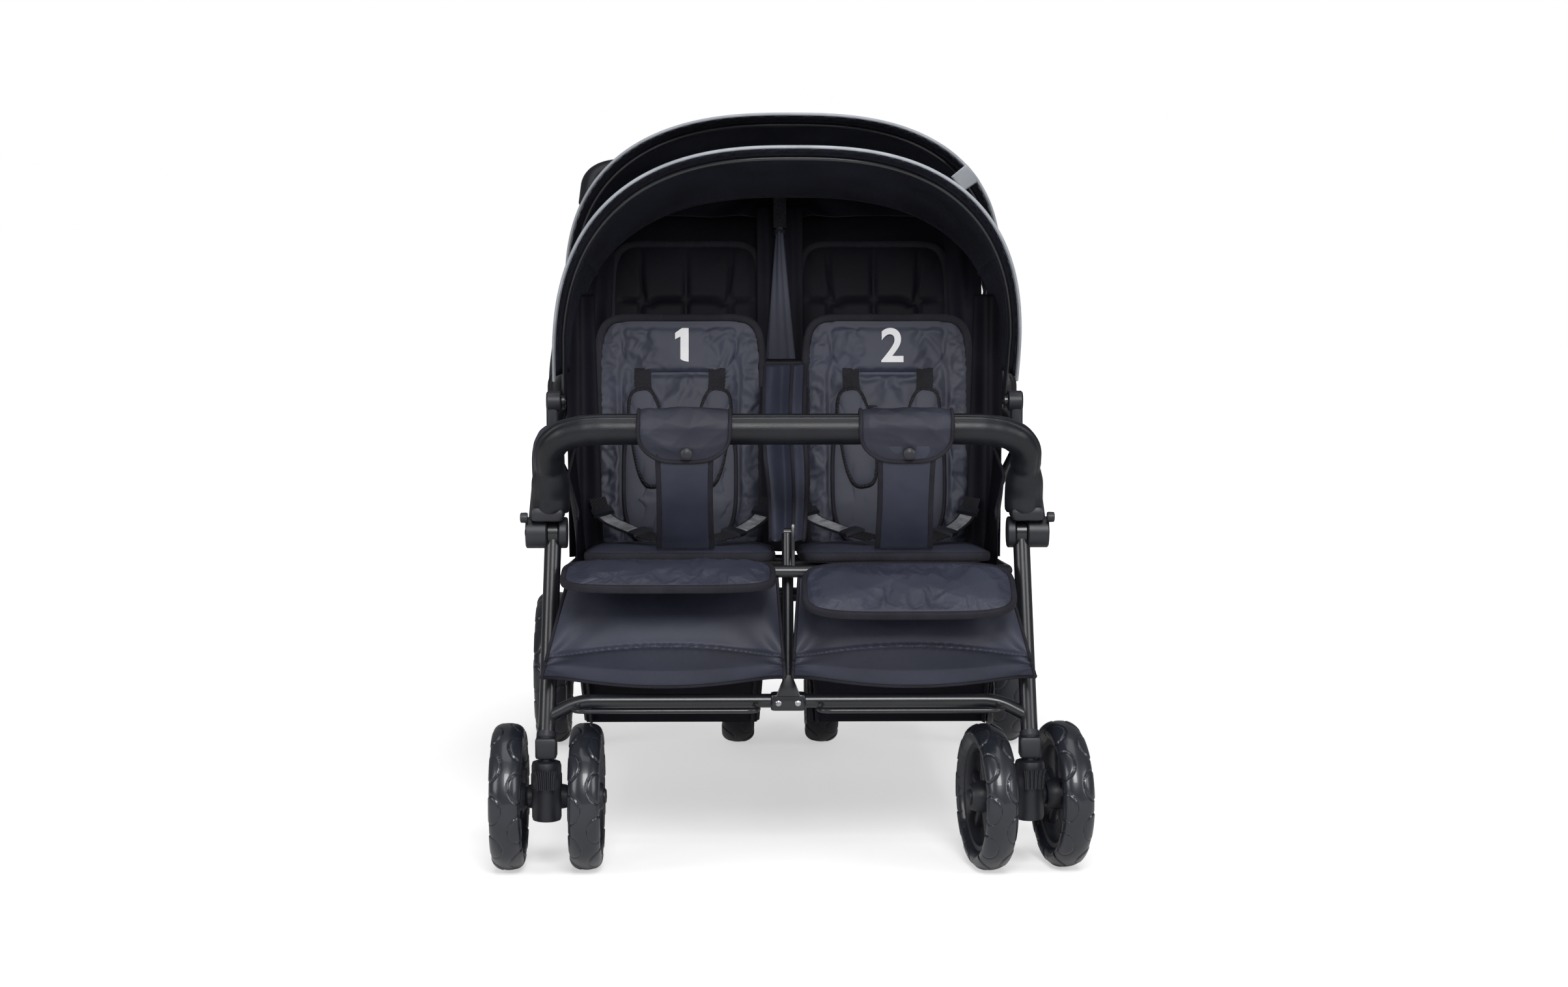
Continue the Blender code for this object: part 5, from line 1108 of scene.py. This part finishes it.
# Crotch pieces: a padded flap wrapped round the bar and snapped to itself, with a strap down to the seat's front.
STRAP_TOP, STRAP_FOOT = (BAR_Y - 0.0215, BAR_Z - 0.020), (-0.4120, 0.4145)
WRAP_RADIUS, WRAP_SHARE = 0.0245, 0.72
for number, middle in CROTCH_X.items():
    share, u = field(90, 70, -1)
    # the wrap: from behind the bar over its top and down its front to a rounded lower edge
    turn = np.radians(-40 + 215 * clamp(share / WRAP_SHARE))
    drop = clamp((share - WRAP_SHARE) / 0.28)
    tongue = 0.042 * drop * (1 - 0.35 * np.abs(u) ** 3.5)
    y = BAR_Y + WRAP_RADIUS * np.cos(turn) + 0.004 * drop
    z = BAR_Z + WRAP_RADIUS * np.sin(turn) - tongue
    x = middle + 0.058 * (1 - 0.14 * drop**3) * u
    hem = clamp((1 - share) * 9)
    puff = 0.0022 * (1 - u**8) * clamp(share * 12) * hem
    puff = puff + rumple(x, share * 0.20, 100 + number, 12, 0.024, 0.0056) * (1 - u**8) * hem
    away = np.stack([0 * u, np.cos(turn) * (1 - drop) - drop, np.sin(turn) * (1 - drop)], -1)
    grid = np.stack([x, y, z], -1) + away * puff[..., None]
    wrap = piece(f"crotch_flap_{number}", [(grid.reshape(-1, 3), weave_faces(90, 70))], painted_shade_lap_cloth, "front_bar",
                 [f"crotch_strap_{number}"])
    declare(wrap, 0.0030, -1.0)
    piece(f"crotch_flap_edge_{number}", [sweep(rim_of(grid), (0.0024, 0.0030), (0.2, 0.3, 1.0), 12)], binding,
          "front_bar")
    snap = [(middle + 0.003, BAR_Y - 0.0300 + back, BAR_Z - 0.0290) for back in (0.004, -0.0008, -0.0022, -0.0028)]
    snap = tube(snap, (0.0075, 0.0073, 0.0050, 0.0034), sides=28)
    piece(f"snap_{number}", [snap], plastic, "front_bar")

    # the strap: a flat padded tongue from under the flap to the seat pad
    share, u = field(80, 30, -1)
    y = STRAP_TOP[0] + (STRAP_FOOT[0] - STRAP_TOP[0]) * share**1.4
    z = STRAP_TOP[1] + (STRAP_FOOT[1] - STRAP_TOP[1]) * share
    x = middle + 0.034 * u * (1 - 0.05 * np.sin(np.pi * share))
    puff = 0.0026 * (1 - u**6) + rumple(x, z, 120 + number, 8, 0.030, 0.0014) * (1 - u**6)
    face = np.stack([x, y - puff, z], -1)
    made = piece(f"crotch_strap_pad_{number}", [slab(face, np.stack([x, y + 0.0040, z], -1))], cloth, "front_bar")
    edges = [sweep(face[:, column] + (0, 0.0012, 0), (0.0030, 0.0038), (1, 0, 0), 12, 3.0) for column in (0, -1)]
    piece(f"crotch_strap_edges_{number}", edges, binding, "front_bar")

# Armrests: padded cloth sleeves laced round the armrest tubes, fullest in the middle and creased across.
SLEEVE_HIGH, SLEEVE_WIDE = 0.0288, 0.0178
for label, side in SIDES:
    rows, sides = 90, 64
    share = np.linspace(0, 1, rows)
    y = -0.3225 + 0.1565 * share
    lower = 0.4443 + (y + 0.385) * (0.515 - 0.4443) / 0.115
    z = np.convolve(np.pad(np.minimum(lower, rail_height(y)) + 0.008, 8, "edge"), np.ones(17) / 17, "valid")
    path = np.stack([np.full(rows, side * (RAIL_X - 0.004)), y, z], -1)
    fat = 0.6 + 0.4 * clamp(np.sin(np.pi * share)) ** 0.45
    points, faces = sweep(path, np.stack([fat * SLEEVE_HIGH, fat * SLEEVE_WIDE], -1), (1, 0, 0), sides)
    points = points.reshape(rows, sides, 3)
    away = (points - path[:, None]) / (SLEEVE_HIGH * fat[:, None, None])
    angle = np.linspace(0, 2 * np.pi, sides, endpoint=False)[None]
    crease = rumple(share[:, None] * 0.30, np.sin(angle) * 0.05, 140 + side, 9, 0.03, 0.0018)
    points = points + away * (crease * np.sin(np.pi * share[:, None]))[..., None]
    made = piece(f"armrest_pad_{label}", [(points, faces)], cloth, "frame", [f"armrest_{label}"])

# Side cloths: hung from the armrest tubes to the seat loop, slack in the middle, with a bound upper edge.
WALL_TOP = np.array([(-0.380, 0.449), (-0.285, 0.500), (-0.100, 0.524), (0.225, 0.546), (0.262, 0.520)])
WALL_LOW = np.array([(-0.380, 0.3700), (-0.145, 0.3630), (-0.120, 0.3745), (-0.045, 0.4280), (0.262, 0.4262)])
for label, side in SIDES:
    up, along = field(50, 170)
    run = WALL_TOP[0, 0] + (WALL_TOP[-1, 0] - WALL_TOP[0, 0]) * along
    y = mix(run, run, up)
    z = mix(np.interp(run, *WALL_LOW.T), np.interp(run, *WALL_TOP.T), up)
    slack = 0.0018 * np.sin(np.pi * up) * (1 + np.sin(along * 9))
    slack = slack + rumple(y, z, 150 + side, 10, 0.05, 0.0016) * np.sin(np.pi * up)
    x = side * (0.2727 + np.clip(slack, -0.0035, 0.0020) + 0.0165 * up**1.3 * clamp((along - 0.02) * 9))
    grid = np.stack([x, y, z], -1)
    open_cloth(f"side_cloth_{label}", grid, painted_shade_cloth, "frame", 0.0014,
               [f"side_panel_{label}"], 0.0)
    piece(f"side_cloth_edge_{label}", [sweep(grid[-1], (0.0030, 0.0022), (1, 0, 0), 12)], binding, "frame")

# Hood back: the cloth that closes the rear arch down to the rear backs, drawn up to its middle in fans of folds.
# Each rear back carries a soft flap that fills the rest and goes back with it when the back reclines.
HEM_RISE = 0.228
_, pivot, tops, halves, _, _ = HOODS[1]
share, t = field(60, 200, 0, np.pi)
arch = bow_line(pivot, np.array(tops[1]) - (0, 0.0035), halves[1] - 0.004, t[0])
up = unit(np.array(tops[1]) - pivot)
rise = (arch[:, 1] - pivot[0]) * up[0] + (arch[:, 2] - pivot[1]) * up[1]
level = np.where(rise < HEM_RISE, np.maximum(rise - 0.004, 0), HEM_RISE)
height = mix(rise, level, share)
x = np.broadcast_to(arch[:, 0], height.shape)
fans = np.sin(np.arctan2(height - 0.325, np.abs(x) + 0.02) * 16 + np.sign(x) * 0.6)
out = 0.0035 * fans * near(x, 0, 0.20) + rumple(x, height, 210, 12, 0.07, 0.0035)
out = out * np.sin(np.pi * np.clip(share, 0, 0.5)) + 0.004
grid = np.stack([x, pivot[0] + up[0] * height + up[1] * out * 0.7, pivot[1] + up[1] * height - up[0] * out * 0.7], -1)
open_cloth("hood_back_cloth", grid, hood_cloth, "frame", 0.0012, offset=0.0)
for number, side in ((3, -1), (4, 1)):
    u, v = np.meshgrid(np.linspace(-1, 1, 90), np.linspace(0, 1, 40), indexing="ij")
    x = u * 0.1390 + side * 0.0030
    y = BACKS[number - 1][4] - 0.030 + v * 0.074
    z = -0.004 + rumple(x, y, 220 + number, 9, 0.05, 0.0030) - 0.010 * v
    open_cloth(f"back_flap_{number}", put(back_places[number], x, y, z), painted_shade_cloth, f"back_{number}", 0.0012,
               offset=0.0)

# Divider: a cloth cone laced between the rear seats, gathered at its top by a strap, in front of the rear backs.
rows, sides = 90, 64
share = np.linspace(0, 1, rows)
path = np.stack([np.zeros(rows), 0.392 - 0.125 * share, 0.815 - 0.345 * share], -1)
wide = 0.0048 + 0.0275 * share**0.9
points, faces = sweep(path, np.stack([0.22 * wide + 0.003, wide], -1), (1, 0, 0), sides, 2.2)
points = points.reshape(rows, sides, 3)
pleat = 0.10 * np.sin(np.arange(sides) * 2 * np.pi / sides * 6 + share[:, None] * 5)
points += (points - path[:, None]) * pleat[..., None]
piece("seat_divider", [(points, faces)], cloth, "frame")
band = [sweep([(0, 0.392, 0.815), (0, 0.398, 0.850), (0, 0.405, 0.888)], (0.0010, 0.0100), (1, 0, 0), 16, 5.0),
        sweep([(0, 0.3925, 0.812), (0, 0.3910, 0.803)], (0.0068, 0.0088))]
piece("divider_strap", band, webbing, "frame")

# Curtains: pleated cloths laced between the rear backs, beside them in the arch of the hood, and beside the front
# backs. They hang from the frame in front of the backs' edges, so a reclining back leaves them behind.


def curtain(name, inner, outer, low, high, pleats, depth, seed):
    """A cloth whose two side edges run from low to high; inner and outer give (x, y) at the foot and at the top."""
    up, u = field(56, 40)
    inner, outer, share = np.array(inner), np.array(outer), up[..., None]
    line = mix(mix(*inner, share), mix(*outer, share), u[..., None])
    z = low + (high - low) * up
    fold = depth * np.sin(u * np.pi * pleats + up * 1.6) * np.sin(np.pi * np.clip(u, 0.06, 0.94))
    y = line[..., 1] + fold + rumple(line[..., 0], z, seed, 9, 0.05, 0.0028)
    open_cloth(name, np.stack([line[..., 0], y, z], -1), painted_shade_cloth, "frame", 0.0012, offset=0.0)


curtain("back_gusset", ((-0.0340, 0.289), (-0.0360, 0.4190)), ((0.0340, 0.289), (0.0360, 0.4190)), 0.446, 0.850, 5,
        0.0030, 240)
curtain("front_gusset", ((-0.0300, -0.132), (-0.0330, -0.0830)), ((0.0300, -0.132), (0.0330, -0.0830)), 0.375, 0.600,
        4, 0.0026, 243)
for label, side in SIDES:
    curtain(f"arch_curtain_{label}", ((side * 0.262, 0.246), (side * 0.254, 0.4150)),
            ((side * 0.3010, 0.200), (side * 0.3130, 0.4150)), 0.560, 0.838, 3, 0.0040, 250 + side)
    curtain(f"side_wing_{label}", ((side * 0.2500, -0.150), (side * 0.2640, -0.0980)),
            ((side * 0.2960, -0.170), (side * 0.3010, -0.1330)), 0.372, 0.730, 3, 0.0045, 260 + side)

# Seat gusset: the folded cloth that closes the gap between the front seats, from the lug up to their backs.
up, u = field(90, 70, -1)
wide = 0.0215 + 0.0060 * clamp(up * 2.2)
x = wide * u + 0.002 * np.sin(up * 7)
y = -0.376 + 0.236 * up**0.8 - 0.020 * np.abs(u) ** 2 * np.sin(np.pi * up) + 0.008 * np.cos(u * 5.5 + 0.8)
z = 0.4190 + 0.215 * up + rumple(x * 2, y, 270, 8, 0.05, 0.0030)
grid = np.stack([x, y + rumple(x * 2, z, 271, 12, 0.045, 0.0060), z], -1)
gusset = open_cloth("seat_gusset", grid, cloth, "frame", 0.0014, offset=0.0)
edges = piece("seat_gusset_edges", [sweep(grid[:, column], (0.0024, 0.0030), (1, 0, 0), 12) for column in (0, 46, -1)],
              binding, "frame")
for made in (gusset, edges):
    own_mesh(made)

# Baskets: sewn cloth trays under the seats, hung from the loop by their outer walls, with ribbed corner webbing.
BASKET_TOP = np.array([(0.286, -0.285), (0.286, 0.255), (0.030, 0.255), (0.030, -0.285)])
BASKET_FOOT = np.array([(0.268, -0.270), (0.268, 0.240), (0.040, 0.240), (0.040, -0.270)])
BASKET_HIGH, BASKET_LOW, BASKET_MIDDLE = np.array([0.3535, 0.3535, 0.290, 0.290]), 0.1608, (0.155, -0.015)
for label, side in SIDES:
    rows, cols = 40, 240
    down = np.linspace(0, 1, rows)[:, None]
    t = np.linspace(0, 4, cols, endpoint=False)
    corner = np.floor(t).astype(int)
    after, f = (corner + 1) % 4, t - corner
    upper = mix(BASKET_TOP[corner], BASKET_TOP[after], f[:, None])
    under = mix(BASKET_FOOT[corner], BASKET_FOOT[after], f[:, None])
    wall = mix(upper, under, down[..., None])
    z = mix(mix(BASKET_HIGH[corner], BASKET_HIGH[after], f), BASKET_LOW, down)
    slack = (0.004 * np.sin(np.pi * down) * np.sin(np.pi * f)
             + rumple(t * 0.25, z, 160 + side, 9, 0.06, 0.0060) * np.sin(np.pi * down))
    way = wall - BASKET_MIDDLE
    way /= np.linalg.norm(way, axis=2, keepdims=True)
    wall = wall - way * np.clip(slack, 0, 0.014)[..., None]
    grid = np.stack([side * wall[..., 0], wall[..., 1], z], -1)
    i, j = field(30, 60)
    x, y = 0.040 + 0.228 * i, -0.270 + 0.510 * j
    sag = BASKET_LOW + 0.0015 * (1 - np.sin(np.pi * i) * np.sin(np.pi * j)) + rumple(x, y, 170, 8, 0.07, 0.0012)
    base = np.stack([side * x, y, np.clip(sag, 0.1600, 0.166)], -1)
    made = piece(f"basket_cloth_{label}", [(grid, weave_faces(rows, cols, False, True)), (base, weave_faces(30, 60))],
                 painted_shade_cloth, "frame", [f"basket_{label}"])
    solidify(made, 0.0014, 0.0)
    foot = np.concatenate([grid[-1], grid[-1, :1]])
    tapes = [sweep(grid[:, column], (0.0012, 0.0085), way[0, column].tolist() + [0.0], 14, 5.0)
             for column in (1, 59, 61, 119, 121, 179, 181, 239)]
    tapes.append(sweep(grid[0], (0.0030, 0.0030), (0, 0, 1), 12, 2.0, True))
    bands = piece(f"basket_tapes_{label}", tapes, webbing, "frame")
    for pressed in (made, bands):
        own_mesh(pressed)
